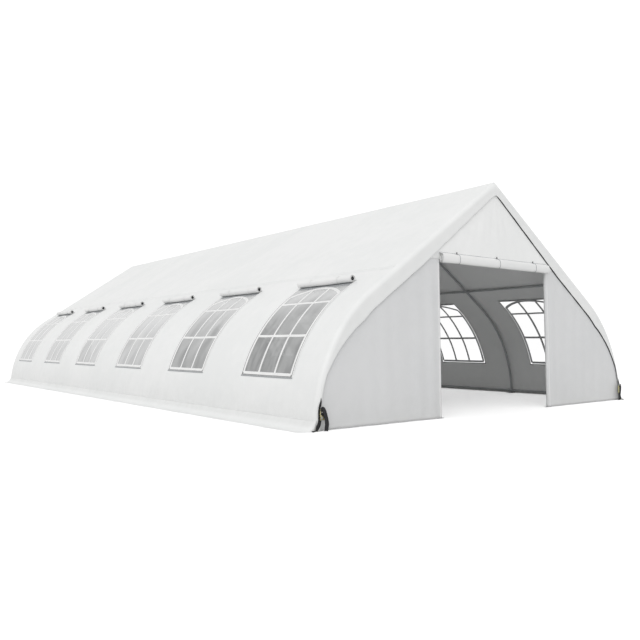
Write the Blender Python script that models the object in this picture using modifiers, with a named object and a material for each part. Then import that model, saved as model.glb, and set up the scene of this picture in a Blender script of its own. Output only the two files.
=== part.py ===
"""An arch-sided party marquee: bent tube arches, purlins, fabric covers with windows, and an open doorway.

Metres, +Z up. The origin is on the ground at the middle of the plan. The ridge runs along Y, the front
is at -Y, and left means -X.

Every cover, tube and panel is placed on one cross-section: a circular arc from the ground up to its
tangent with a straight rafter, mirrored at the ridge. A point on it is named by its run, the distance
up from the ground along the outer fabric, and by its depth under that fabric.
"""

import math

import bmesh
import bpy
from mathutils import Matrix, Vector

# Driving dimensions of the cover
WIDTH = 6.10
LENGTH = 12.20
PEAK = 3.05
SIDE_RADIUS = 1.82
BAYS = 6
ARC_STEPS = 18
EAVE_RUN = 2.30

# Clearances and thicknesses
GAP = 0.0003
FABRIC = 0.003
FILM = 0.0015
WELD = 0.00001

# Frame tubes
TUBE_RADIUS = 0.019
TUBE_STEPS = 9
SOCKET_RADIUS = 0.0225
SOCKET_SIDES = 12
SOCKET_HALF = 0.07
SOCKET_CLOSED_END = 0.012
PURLIN_RADIUS = 0.0165
PURLIN_SIDES = 12
BORE_RADIUS = PURLIN_RADIUS + GAP
BORE_CLOSED_END = 0.010
BORE_REACH = 0.10
BASE_RAIL_HEIGHT = 0.05
PLATE_THICK = 0.005
PLATE_OUTWARD = 0.0235
PLATE_INWARD = 0.10
PLATE_HALF_LENGTH = 0.055
PLATE_SINK = 0.002
PLATE_END_INSET = 0.004

# Ends: the valance's plane, and the end panels behind it
VALANCE_FOOT = 0.035
VALANCE_EAVE = 0.19
VALANCE_RIDGE = 0.134
VALANCE_FOOT_RUN = 0.45
VALANCE_KNEE_RUN = 1.50
VALANCE_SHOULDER_RUN = 2.70
PANEL_SETBACK = 0.022
DOOR_HALF = 1.10
DOOR_HEAD = 1.94
POST_INSET = 0.025
DOOR_ROLL_HALF_LENGTH = 1.16
DOOR_ROLL_HEIGHT = 0.12
DOOR_ROLL_THICK = 0.07
DOOR_ROLL_SIDES = 16

# Windows and their rolled-up covers
WINDOW_WIDTH = 1.04
WINDOW_LOW = 0.54
WINDOW_HIGH = 1.956
WINDOW_SHIFT = 0.04
FILM_MARGIN = 0.03
CUTTER_REACH = 0.05
ROLL_RUN = 2.01
ROLL_RADIUS = 0.045
ROLL_LENGTH = 1.066
ROLL_SIDES = 16
ROLL_SEAT = ROLL_RADIUS * math.cos(math.pi / ROLL_SIDES) + 2 * GAP

# Ground skirt along each side
SKIRT_HEIGHT = 0.11
SKIRT_SPREAD = 0.20
SKIRT_END_INSET = 0.02

# Corner straps: places on the end's face, as (distance from the middle, height)
STRAP_TIP = (2.976, 0.345)
STRAP_SHOULDER = (2.991, 0.250)
STRAP_FOOT = (3.033, 0.012)
STRAP_HALF_WIDTH = 0.020
RATCHET_CENTRE = (2.991, 0.184)
RATCHET_HALF_WIDTH = 0.026
RATCHET_HALF_HEIGHT = 0.055
RATCHET_THICK = 0.028
TAIL_TOP = (2.972, 0.240)
TAIL_KNEE = (2.944, 0.120)
TAIL_END = (2.937, 0.0)
TAIL_HALF_WIDTH = 0.025
STRAP_LAP = 0.0015
HOOK_RADIUS = 0.005
HOOK_HEIGHT = 0.045

# Places worked out from the driving dimensions
BAY = LENGTH / BAYS
END_Y = LENGTH / 2
ARC_CENTRE_X = WIDTH / 2 - SIDE_RADIUS
ROOF_ANGLE = math.atan2(PEAK, -ARC_CENTRE_X) - math.acos(SIDE_RADIUS / math.hypot(ARC_CENTRE_X, PEAK))
ARC_RUN = SIDE_RADIUS * ROOF_ANGLE
FRAME_DEPTH = FABRIC + GAP + FILM + GAP
TUBE_DEPTH = FRAME_DEPTH + SOCKET_RADIUS
PANEL_DEPTH = FABRIC + GAP
PANEL_INNER_Y = END_Y - PANEL_SETBACK - FABRIC
END_ARCH_Y = PANEL_INNER_Y - GAP - TUBE_RADIUS
SIDES = {"left": -1, "right": 1}
ENDS = {"front": -1, "back": 1}

# Finishes: colour, roughness, metallic
FINISHES = {
    "frame_steel": ((0.62, 0.64, 0.65), 0.45, 0.7),
    "cover_fabric": ((0.90, 0.90, 0.90), 0.55, 0.0),
    "window_film": ((0.72, 0.76, 0.78), 0.15, 0.0),
    "webbing": ((0.02, 0.02, 0.02), 0.8, 0.0),
}


def section_point(run, depth):
    """(x, z) on the right half, run metres up along the outer fabric and depth metres under it."""
    angle = min(run, ARC_RUN) / SIDE_RADIUS
    along = max(run - ARC_RUN, 0.0)
    x = ARC_CENTRE_X + (SIDE_RADIUS - depth) * math.cos(angle) - along * math.sin(angle)
    z = (SIDE_RADIUS - depth) * math.sin(angle) + along * math.cos(angle)
    return x, z


def run_at_x(x, depth):
    """The run of the rafter point that lies x from the middle, at this depth."""
    rafter_foot = ARC_CENTRE_X + (SIDE_RADIUS - depth) * math.cos(ROOF_ANGLE)
    return ARC_RUN + (rafter_foot - x) / math.sin(ROOF_ANGLE)


def run_at_height(z, depth):
    """The run of the point at height z, at this depth."""
    rafter_foot = (SIDE_RADIUS - depth) * math.sin(ROOF_ANGLE)
    if z < rafter_foot:
        return SIDE_RADIUS * math.asin(z / (SIDE_RADIUS - depth))
    return ARC_RUN + (z - rafter_foot) / math.cos(ROOF_ANGLE)


def stations(low, high, steps=ARC_STEPS):
    """The runs from low to high at which an outline has points: its ends and the arc's even steps."""
    inner = [ARC_RUN * k / steps for k in range(steps + 1)]
    return [low] + [run for run in inner if low + WELD < run < high - WELD] + [high]


def step_below(run):
    """The arc's step at or under this run, where flat facets of two layers lie parallel."""
    return ARC_RUN * math.floor(run / ARC_RUN * ARC_STEPS) / ARC_STEPS


def shell_outline(low, high, outer, inner):
    """A strip of the section between two runs and two depths, as a closed outline."""
    runs = stations(low, high)
    outside = [section_point(run, outer) for run in runs]
    inside = [section_point(run, inner) for run in reversed(runs)]
    return outside + inside


def mirrored(outline, side):
    """The outline on the given side of the middle."""
    return [(side * x, z) for x, z in outline]


def material(finish):
    """The named finish as a material, made once."""
    if finish in bpy.data.materials:
        return bpy.data.materials[finish]
    colour, roughness, metallic = FINISHES[finish]
    made = bpy.data.materials.new(finish)
    made.use_nodes = True
    shader = made.node_tree.nodes["Principled BSDF"]
    shader.inputs["Base Color"].default_value = (*colour, 1.0)
    shader.inputs["Roughness"].default_value = roughness
    shader.inputs["Metallic"].default_value = metallic
    return made


def place(name, data, finish, collection):
    """A new object of this data in the collection, with its finish."""
    made = bpy.data.objects.new(name, data)
    if finish:
        data.materials.append(material(finish))
    collection.objects.link(made)
    return made


def slab(name, outline, y_low, y_high, finish, collection):
    """An outline in the XZ plane, made solid between two places along Y."""
    curve = bpy.data.curves.new(name, "CURVE")
    curve.dimensions = "2D"
    curve.fill_mode = "BOTH"
    curve.extrude = abs(y_high - y_low) / 2
    spline = curve.splines.new("POLY")
    spline.points.add(len(outline) - 1)
    for point, (x, z) in zip(spline.points, outline):
        point.co = (x, z, 0.0, 1.0)
    spline.use_cyclic_u = True
    made = place(name, curve, finish, collection)
    made.location = (0.0, (y_low + y_high) / 2, 0.0)
    made.rotation_euler = (math.pi / 2, 0.0, 0.0)
    return made


def tube(name, path, radius, finish, collection):
    """A round tube along a path of points, closed at both ends."""
    curve = bpy.data.curves.new(name, "CURVE")
    curve.dimensions = "3D"
    curve.bevel_depth = radius
    curve.bevel_resolution = 2
    curve.use_fill_caps = True
    spline = curve.splines.new("POLY")
    spline.points.add(len(path) - 1)
    for point, at in zip(spline.points, path):
        point.co = (*at, 1.0)
    return place(name, curve, finish, collection)


def as_mesh(curve):
    """The curve object made into a mesh with welded caps, in its place and with its name."""
    bpy.context.view_layer.update()
    graph = bpy.context.evaluated_depsgraph_get()
    mesh = bpy.data.meshes.new_from_object(curve.evaluated_get(graph))
    work = bmesh.new()
    work.from_mesh(mesh)
    bmesh.ops.remove_doubles(work, verts=work.verts, dist=WELD)
    bmesh.ops.recalc_face_normals(work, faces=work.faces)
    work.to_mesh(mesh)
    work.free()
    name = curve.name
    collection = curve.users_collection[0]
    matrix = curve.matrix_world.copy()
    bpy.data.objects.remove(curve)
    made = bpy.data.objects.new(name, mesh)
    made.matrix_world = matrix
    collection.objects.link(made)
    return made


def add_box(work, low, high):
    """Adds a box between two corners to a bmesh."""
    size = Vector(high) - Vector(low)
    middle = (Vector(high) + Vector(low)) / 2
    matrix = Matrix.Translation(middle) @ Matrix.Diagonal((*size, 1.0))
    bmesh.ops.create_cube(work, size=1.0, matrix=matrix)


def add_rod(work, start, end, radius, sides):
    """Adds a closed cylinder between two points to a bmesh."""
    axis = Vector(end) - Vector(start)
    middle = (Vector(end) + Vector(start)) / 2
    matrix = Matrix.Translation(middle) @ axis.to_track_quat("Z", "Y").to_matrix().to_4x4()
    bmesh.ops.create_cone(
        work, cap_ends=True, segments=sides, radius1=radius, radius2=radius, depth=axis.length, matrix=matrix
    )


def mesh_from(name, fill, finish, collection):
    """An object whose mesh is what the fill function adds to an empty bmesh."""
    work = bmesh.new()
    fill(work)
    mesh = bpy.data.meshes.new(name)
    work.to_mesh(mesh)
    work.free()
    return place(name, mesh, finish, collection)


def combine(target, other, operation):
    """Joins the other solid to the target, or cuts it away, and keeps the other as a hidden helper."""
    other.hide_render = True
    other.display_type = "WIRE"
    modifier = target.modifiers.new(operation.lower(), "BOOLEAN")
    modifier.operation = operation
    modifier.solver = "EXACT"
    modifier.object = other


def smooth(target):
    """Round faces shaded smooth, with the edges between flat and round kept sharp."""
    target.data.shade_smooth()
    target.data.set_sharp_from_angle(angle=math.radians(40.0))


def arch_places():
    """The seven arches along Y: the end ones behind the end panels, the others on the bay lines."""
    inner = [-END_Y + BAY * k for k in range(1, BAYS)]
    return [-END_ARCH_Y] + inner + [END_ARCH_Y]


def purlin_places():
    """(x, z) of every purlin and rail: the ridge, and on each side the eave and the base."""
    ridge = section_point(run_at_x(0.0, TUBE_DEPTH), TUBE_DEPTH)
    eave = section_point(EAVE_RUN, TUBE_DEPTH)
    base = section_point(run_at_height(BASE_RAIL_HEIGHT, TUBE_DEPTH), TUBE_DEPTH)
    places = {"ridge_purlin": ridge}
    for side_name, side in SIDES.items():
        places["eave_purlin_" + side_name] = (side * eave[0], eave[1])
        places["base_rail_" + side_name] = (side * base[0], base[1])
    return places


def arch(number, y, parts, helpers):
    """One arch: a bent tube from foot to foot, with cross sockets for the purlins and two foot plates."""
    top = run_at_x(0.0, TUBE_DEPTH)
    half = [section_point(run, TUBE_DEPTH) for run in stations(0.0, top, TUBE_STEPS)]
    half[0] = (half[0][0], PLATE_THICK - PLATE_SINK)
    right = [(x, y, z) for x, z in half]
    left = [(-x, y, z) for x, z in reversed(half[:-1])]
    name = f"arch_{number}"
    body = as_mesh(tube(name, right + left, TUBE_RADIUS, "frame_steel", parts))

    low = -SOCKET_CLOSED_END if y == -END_ARCH_Y else -SOCKET_HALF
    high = SOCKET_CLOSED_END if y == END_ARCH_Y else SOCKET_HALF
    bore_low = -BORE_CLOSED_END if y == -END_ARCH_Y else -BORE_REACH
    bore_high = BORE_CLOSED_END if y == END_ARCH_Y else BORE_REACH
    foot_x = section_point(0.0, TUBE_DEPTH)[0]

    def fittings(work):
        for x, z in purlin_places().values():
            add_rod(work, (x, y + low, z), (x, y + high, z), SOCKET_RADIUS, SOCKET_SIDES)
        for side in SIDES.values():
            edges = sorted((side * (foot_x - PLATE_INWARD), side * (foot_x + PLATE_OUTWARD)))
            short = TUBE_RADIUS - PLATE_END_INSET
            y_low = y - (short if y == -END_ARCH_Y else PLATE_HALF_LENGTH)
            y_high = y + (short if y == END_ARCH_Y else PLATE_HALF_LENGTH)
            add_box(work, (edges[0], y_low, 0.0), (edges[1], y_high, PLATE_THICK))

    def bores(work):
        for x, z in purlin_places().values():
            add_rod(work, (x, y + bore_low, z), (x, y + bore_high, z), BORE_RADIUS, PURLIN_SIDES)

    combine(body, mesh_from(name + "_fittings", fittings, None, helpers), "UNION")
    combine(body, mesh_from(name + "_bores", bores, None, helpers), "DIFFERENCE")
    smooth(body)


def purlins(parts):
    """The ridge and eave purlins and the base rails, each one straight tube through all the sockets."""
    reach = END_ARCH_Y + BORE_CLOSED_END - GAP
    for name, (x, z) in purlin_places().items():
        ends = ((x, -reach, z), (x, reach, z))
        made = mesh_from(
            name, lambda work: add_rod(work, *ends, PURLIN_RADIUS, PURLIN_SIDES), "frame_steel", parts
        )
        smooth(made)


def door_frame(end_name, end, parts, helpers):
    """Two posts under a head rail, which reaches from rafter to rafter in the end arch's plane."""
    y = end * END_ARCH_Y
    post_x = DOOR_HALF + POST_INSET
    rafter_run = run_at_height(DOOR_HEAD + TUBE_RADIUS, TUBE_DEPTH + TUBE_RADIUS)
    head_half = section_point(rafter_run, TUBE_DEPTH + TUBE_RADIUS)[0] - GAP / math.sin(ROOF_ANGLE)
    name = end_name + "_door_frame"

    def head(work):
        ends = ((-head_half, y, DOOR_HEAD), (head_half, y, DOOR_HEAD))
        add_rod(work, *ends, TUBE_RADIUS, SOCKET_SIDES)

    def posts(work):
        for side in SIDES.values():
            foot = (side * post_x, y, PLATE_THICK - PLATE_SINK)
            add_rod(work, foot, (side * post_x, y, DOOR_HEAD), PURLIN_RADIUS, PURLIN_SIDES)

    def plates(work):
        for side in SIDES.values():
            low = (side * post_x - PLATE_HALF_LENGTH, y - TUBE_RADIUS, 0.0)
            high = (side * post_x + PLATE_HALF_LENGTH, y + TUBE_RADIUS, PLATE_THICK)
            add_box(work, low, high)

    body = mesh_from(name, head, "frame_steel", parts)
    combine(body, mesh_from(name + "_posts", posts, None, helpers), "UNION")
    combine(body, mesh_from(name + "_plates", plates, None, helpers), "UNION")
    smooth(body)


def roof_covers(parts):
    """The two flat roof covers, from over the eave purlins to the ridge, where they meet."""
    reach = END_Y - FABRIC - GAP
    for side_name, side in SIDES.items():
        outline = shell_outline(EAVE_RUN + GAP, run_at_x(GAP / 2, FABRIC), 0.0, FABRIC)
        outline[1] = section_point(run_at_x(GAP / 2, 0.0), 0.0)
        slab("roof_cover_" + side_name, mirrored(outline, side), -reach, reach, "cover_fabric", parts)


def wall_covers(parts, helpers):
    """The two wall covers, curved up to the eave purlins, each cut through by a row of windows."""
    reach = END_Y - FABRIC - GAP
    first = -END_Y + BAY / 2 + WINDOW_SHIFT
    for side_name, side in SIDES.items():
        outline = mirrored(shell_outline(0.0, EAVE_RUN, 0.0, FABRIC), side)
        name = "wall_cover_" + side_name
        cover = as_mesh(slab(name, outline, -reach, reach, "cover_fabric", parts))
        hole = mirrored(shell_outline(WINDOW_LOW, WINDOW_HIGH, -CUTTER_REACH, CUTTER_REACH), side)
        edges = (first - WINDOW_WIDTH / 2, first + WINDOW_WIDTH / 2)
        cutter = as_mesh(slab(name + "_windows", hole, *edges, None, helpers))
        row = cutter.modifiers.new("row", "ARRAY")
        row.count = BAYS
        row.use_relative_offset = False
        row.use_constant_offset = True
        row.constant_offset_displace = (0.0, 0.0, -BAY)
        combine(cover, cutter, "DIFFERENCE")


def window_films(parts):
    """On each side one sheet of clear film, behind all the wall's windows."""
    reach = (BAYS - 1) * BAY / 2 + WINDOW_WIDTH / 2 + FILM_MARGIN
    for side_name, side in SIDES.items():
        low = step_below(WINDOW_LOW - FILM_MARGIN)
        high = WINDOW_HIGH + FILM_MARGIN
        outline = mirrored(shell_outline(low, high, FABRIC + GAP, FABRIC + GAP + FILM), side)
        ends = (WINDOW_SHIFT - reach, WINDOW_SHIFT + reach)
        slab("window_film_" + side_name, outline, *ends, "window_film", parts)


def window_rolls(parts):
    """Over each window its cover, rolled up and standing on the fabric."""
    x, z = section_point(ROLL_RUN, -ROLL_SEAT)
    for side_name, side in SIDES.items():
        for number in range(BAYS):
            y = -END_Y + BAY * (number + 0.5) + WINDOW_SHIFT
            ends = ((side * x, y - ROLL_LENGTH / 2, z), (side * x, y + ROLL_LENGTH / 2, z))
            name = f"window_roll_{side_name}_{number + 1}"
            made = mesh_from(
                name, lambda work: add_rod(work, *ends, ROLL_RADIUS, ROLL_SIDES), "cover_fabric", parts
            )
            smooth(made)


def ground_skirts(parts):
    """The flap along the foot of each wall, which slopes out to the ground."""
    reach = END_Y - SKIRT_END_INSET
    top_x = section_point(run_at_height(SKIRT_HEIGHT, 0.0), 0.0)[0] + GAP
    foot_x = WIDTH / 2 + SKIRT_SPREAD
    outline = [
        (top_x, SKIRT_HEIGHT),
        (foot_x, FABRIC),
        (foot_x, 0.0),
        (top_x, SKIRT_HEIGHT - FABRIC),
    ]
    for side_name, side in SIDES.items():
        slab("ground_skirt_" + side_name, mirrored(outline, side), -reach, reach, "cover_fabric", parts)


def blend(low, high, share):
    """From low at a share of 0 to high at a share of 1, and no further."""
    return low + (high - low) * min(max(share, 0.0), 1.0)


def valance_width(run):
    """How far the valance reaches in from the edge: narrow at the foot, wide along the eave, less at the ridge."""
    if run < VALANCE_SHOULDER_RUN:
        share = (run - VALANCE_FOOT_RUN) / (VALANCE_KNEE_RUN - VALANCE_FOOT_RUN)
        return blend(VALANCE_FOOT, VALANCE_EAVE, share)
    share = (run - VALANCE_SHOULDER_RUN) / (run_at_x(0.0, VALANCE_RIDGE) - VALANCE_SHOULDER_RUN)
    return blend(VALANCE_EAVE, VALANCE_RIDGE, share)


def valance(end_name, end, parts):
    """The band in which the cover returns over the end arch, in one plane."""
    outer = [section_point(run, 0.0) for run in stations(0.0, run_at_x(0.0, 0.0))]
    inner_runs = stations(0.0, VALANCE_SHOULDER_RUN) + [run_at_x(0.0, VALANCE_RIDGE)]
    inner = [section_point(run, valance_width(run)) for run in inner_runs]
    outer_edge = outer + mirrored(outer[:-1], -1)[::-1]
    inner_edge = mirrored(inner, -1) + inner[:-1][::-1]
    edges = sorted((end * END_Y, end * (END_Y - FABRIC)))
    slab(end_name + "_valance", outer_edge + inner_edge, *edges, "cover_fabric", parts)


def end_panels(end_name, end, parts):
    """The gable panel over the doorway and the two panels beside it, behind the valance."""
    edges = sorted((end * PANEL_INNER_Y, end * (PANEL_INNER_Y + FABRIC)))
    seam = run_at_height(DOOR_HEAD - GAP, PANEL_DEPTH)
    beside = [section_point(run, PANEL_DEPTH) for run in stations(0.0, seam)]
    beside += [(DOOR_HALF, DOOR_HEAD - GAP), (DOOR_HALF, 0.0)]
    for side_name, side in SIDES.items():
        name = f"{end_name}_panel_{side_name}"
        slab(name, mirrored(beside, side), *edges, "cover_fabric", parts)
    corner = section_point(run_at_height(DOOR_HEAD, PANEL_DEPTH), PANEL_DEPTH)
    peak = section_point(run_at_x(0.0, PANEL_DEPTH), PANEL_DEPTH)
    gable = [corner, peak, (-corner[0], corner[1])]
    slab(end_name + "_gable_panel", gable, *edges, "cover_fabric", parts)


def door_roll(end_name, end, parts):
    """The door panel, rolled up into an oval bundle across the head of the doorway."""
    y = end * (PANEL_INNER_Y + FABRIC + GAP + DOOR_ROLL_THICK / 2)
    flatten = Matrix.Diagonal((1.0, DOOR_ROLL_THICK / DOOR_ROLL_HEIGHT, 1.0, 1.0))

    def bundle(work):
        ends = ((-DOOR_ROLL_HALF_LENGTH, 0.0, 0.0), (DOOR_ROLL_HALF_LENGTH, 0.0, 0.0))
        add_rod(work, *ends, DOOR_ROLL_HEIGHT / 2, DOOR_ROLL_SIDES)
        bmesh.ops.transform(work, matrix=Matrix.Translation((0.0, y, DOOR_HEAD)) @ flatten, verts=work.verts)

    smooth(mesh_from(end_name + "_door_roll", bundle, "cover_fabric", parts))


def band_outline(path, half_width):
    """A band of even width along a path in the end's face, square at its ends."""
    left = []
    right = []
    for index, (x, z) in enumerate(path):
        before = path[max(index - 1, 0)]
        after = path[min(index + 1, len(path) - 1)]
        length = math.hypot(after[0] - before[0], after[1] - before[1])
        across = ((after[1] - before[1]) / length, -(after[0] - before[0]) / length)
        left.append((x + across[0] * half_width, z + across[1] * half_width))
        right.append((x - across[0] * half_width, z - across[1] * half_width))
    return left + right[::-1]


def corner_strap(end_name, end, side_name, side, parts, helpers):
    """A strap out of the cover's edge, down through a ratchet to a ground hook, with its tail hanging."""
    name = f"corner_strap_{end_name}_{side_name}"
    face = END_Y + GAP
    webbing = [STRAP_TIP] + band_outline([STRAP_SHOULDER, STRAP_FOOT], STRAP_HALF_WIDTH)
    webbing = [(x, max(z, 0.0)) for x, z in webbing]
    tail = band_outline([TAIL_TOP, TAIL_KNEE, TAIL_END], TAIL_HALF_WIDTH)
    tail = [(x, max(z, 0.0)) for x, z in tail]
    tail_front = face + RATCHET_THICK + FABRIC
    layers = sorted((end * face, end * (face + FABRIC)))
    body = as_mesh(slab(name, mirrored(webbing, side), *layers, "webbing", parts))

    def ratchet(work):
        corners = [
            (
                side * (RATCHET_CENTRE[0] + sign * RATCHET_HALF_WIDTH),
                end * (face + depth),
                RATCHET_CENTRE[1] + sign * RATCHET_HALF_HEIGHT,
            )
            for sign, depth in ((-1, STRAP_LAP), (1, RATCHET_THICK))
        ]
        add_box(work, *([pick(pair) for pair in zip(*corners)] for pick in (min, max)))

    def hook(work):
        y = end * (face + GAP + HOOK_RADIUS)
        add_rod(work, (side * STRAP_FOOT[0], y, 0.0), (side * STRAP_FOOT[0], y, HOOK_HEIGHT), HOOK_RADIUS, 8)

    tail_layers = sorted((end * (tail_front - FABRIC - STRAP_LAP), end * tail_front))
    tail_body = as_mesh(slab(name + "_tail", mirrored(tail, side), *tail_layers, None, helpers))
    combine(body, mesh_from(name + "_ratchet", ratchet, None, helpers), "UNION")
    combine(body, tail_body, "UNION")
    combine(body, mesh_from(name + "_hook", hook, None, helpers), "UNION")


def new_collection(name):
    """A collection of this name in the scene."""
    made = bpy.data.collections.new(name)
    bpy.context.scene.collection.children.link(made)
    return made


def main():
    """Clears the scene and builds the marquee."""
    for old in list(bpy.data.objects):
        bpy.data.objects.remove(old)
    parts = new_collection("marquee_tent")
    helpers = new_collection("cutters")
    for number, y in enumerate(arch_places(), start=1):
        arch(number, y, parts, helpers)
    purlins(parts)
    roof_covers(parts)
    wall_covers(parts, helpers)
    window_films(parts)
    window_rolls(parts)
    ground_skirts(parts)
    for end_name, end in ENDS.items():
        door_frame(end_name, end, parts, helpers)
        valance(end_name, end, parts)
        end_panels(end_name, end, parts)
        door_roll(end_name, end, parts)
        for side_name, side in SIDES.items():
            corner_strap(end_name, end, side_name, side, parts, helpers)


main()
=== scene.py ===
"""Looks of the arch-sided party marquee: stretched fabric, windows, rolls, end panels, straps and finishes.

Metres, +Z up, the ridge along Y, the front at -Y, and left is -X. A place on the cover is named by its run,
the distance up the cross-section from the ground, by its place along Y, and by its lift above the fabric.
"""

import logging
import math
from collections.abc import Callable, Iterable
from dataclasses import dataclass, field
from enum import Enum
from functools import cache

import bmesh
import bpy
import numpy as np
from mathutils import Matrix, Vector


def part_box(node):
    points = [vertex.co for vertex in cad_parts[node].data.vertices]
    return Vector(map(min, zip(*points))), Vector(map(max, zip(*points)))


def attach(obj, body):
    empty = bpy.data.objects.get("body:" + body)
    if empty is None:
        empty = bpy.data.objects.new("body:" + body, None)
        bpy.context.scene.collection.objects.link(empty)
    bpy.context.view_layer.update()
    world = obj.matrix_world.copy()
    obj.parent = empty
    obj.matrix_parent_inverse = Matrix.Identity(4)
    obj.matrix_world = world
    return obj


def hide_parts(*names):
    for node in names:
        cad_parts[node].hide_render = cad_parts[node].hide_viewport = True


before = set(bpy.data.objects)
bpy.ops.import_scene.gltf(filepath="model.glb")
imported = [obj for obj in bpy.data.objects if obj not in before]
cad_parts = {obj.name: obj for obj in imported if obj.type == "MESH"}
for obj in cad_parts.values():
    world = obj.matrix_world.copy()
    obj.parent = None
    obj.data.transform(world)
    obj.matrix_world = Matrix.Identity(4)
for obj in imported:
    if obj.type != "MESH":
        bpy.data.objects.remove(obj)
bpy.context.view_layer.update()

UV_NAME = "metres"
WELD = 0.000001
SHARP_ANGLE = math.radians(38.0)
FULL_TURN = 2.0 * math.pi
SHEET_WALL = 0.0009
ON_CLOTH = 0.0001
BAR_POINTS = 5
ROD_SIDES = 12
MIX_FIRST, MIX_SECOND, MIX_RESULT = 6, 7, 2
BAYS = 6
BAND_SIDES = np.array([-1.0, 1.0, 1.0, 1.0, -1.0, -1.0])
BAND_DRAWN_IN = 0.0008 * np.array([0.0, 0.0, 0.0, -1.0, 1.0, 0.0])
BAND_HEIGHTS = np.array([0.0, 0.0, 0.6, 1.0, 1.0, 0.6])
UP = np.array([0.0, 0.0, 1.0])
OUT = np.array([0.0, 1.0, 0.0])
ACROSS = np.array([1.0, 0.0, 0.0])
WHITE = (1.0, 1.0, 1.0)
Array = np.ndarray
Value = np.ndarray | float
Rings = list[np.ndarray]
Pair = tuple[float, float]
Triple = tuple[float, float, float]
Colour = Place = Triple
Lift = Callable[[Array, Array], Array] | float
Piece = bpy.types.Object
NodeTree = bpy.types.NodeTree
Socket = bpy.types.NodeSocket
Sockets = bpy.types.bpy_prop_collection
FABRIC = "cover_fabric"
log = logging.getLogger("marquee")


class Way(Enum):
    """A direction across or along the tent, with its sign as its value."""

    @property
    def word(self) -> str:
        """The direction's name in lower case."""
        return self.name.lower()


class Side(Way):
    """The two long sides."""

    LEFT = -1
    RIGHT = 1


class End(Way):
    """The two ends."""

    FRONT = -1
    BACK = 1


class Held(Enum):
    """How a sheet of fabric is held."""

    STRETCHED = "stretched"
    HUNG = "hung"
    FOLDED = "folded"
    LAID = "laid"


def smooth_step(low: float, high: float, value: Array) -> Array:
    """Rises from 0 at low to 1 at high, as three times the share squared less twice its cube."""
    share = np.clip((value - low) / (high - low), 0.0, 1.0)
    return share * share * (3.0 - 2.0 * share)


@dataclass(frozen=True)
class Wave:
    """A sine wave over a sheet: its height and length in metres, and its phase in radians.

    Its crests lean by this much along the sheet for each metre across it. Its phase turns with a third value.
    """

    height: float
    length: float
    lean: float = 0.0
    phase: float = 0.0
    turn: float = 0.0

    def swell(self, along: Array, across: Value = 0.0, by: Value = 0.0) -> Array:
        """The height times the sine of a full turn times the place over the length, plus the phase."""
        angle = FULL_TURN * (along + self.lean * across) / self.length
        return self.height * np.sin(angle + self.phase + self.turn * by)

    def hump(self, along: Array, across: Value = 0.0, by: Value = 0.0) -> Array:
        """The same wave raised and halved, from 0 to its height."""
        return 0.5 * (self.height + self.swell(along, across, by))


@dataclass(frozen=True)
class Tape:
    """A flat strip: half its width, its thickness and the points along its path."""

    half: float
    thick: float
    points: int = 25


def unit(vectors: Array) -> Array:
    """Divides vectors, in the last axis, by their own lengths."""
    return vectors / np.linalg.norm(vectors, axis=-1, keepdims=True)


def lines_between(low: float, high: float, step: float, through: Iterable[float] = ()) -> Array:
    """Grid lines from low to high, about a step apart and exactly on the places they must pass.

    Args:
        low: The first line.
        high: The last line.
        step: The widest spacing.
        through: Places between them that also get a line.

    Returns:
        The lines in rising order.
    """
    stops = [low, *sorted(through), high]
    parts = [
        np.linspace(a, b, max(1, math.ceil((b - a) / step)), endpoint=False)
        for a, b in zip(stops, stops[1:])
    ]
    return np.concatenate([*parts, [high]])


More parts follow.
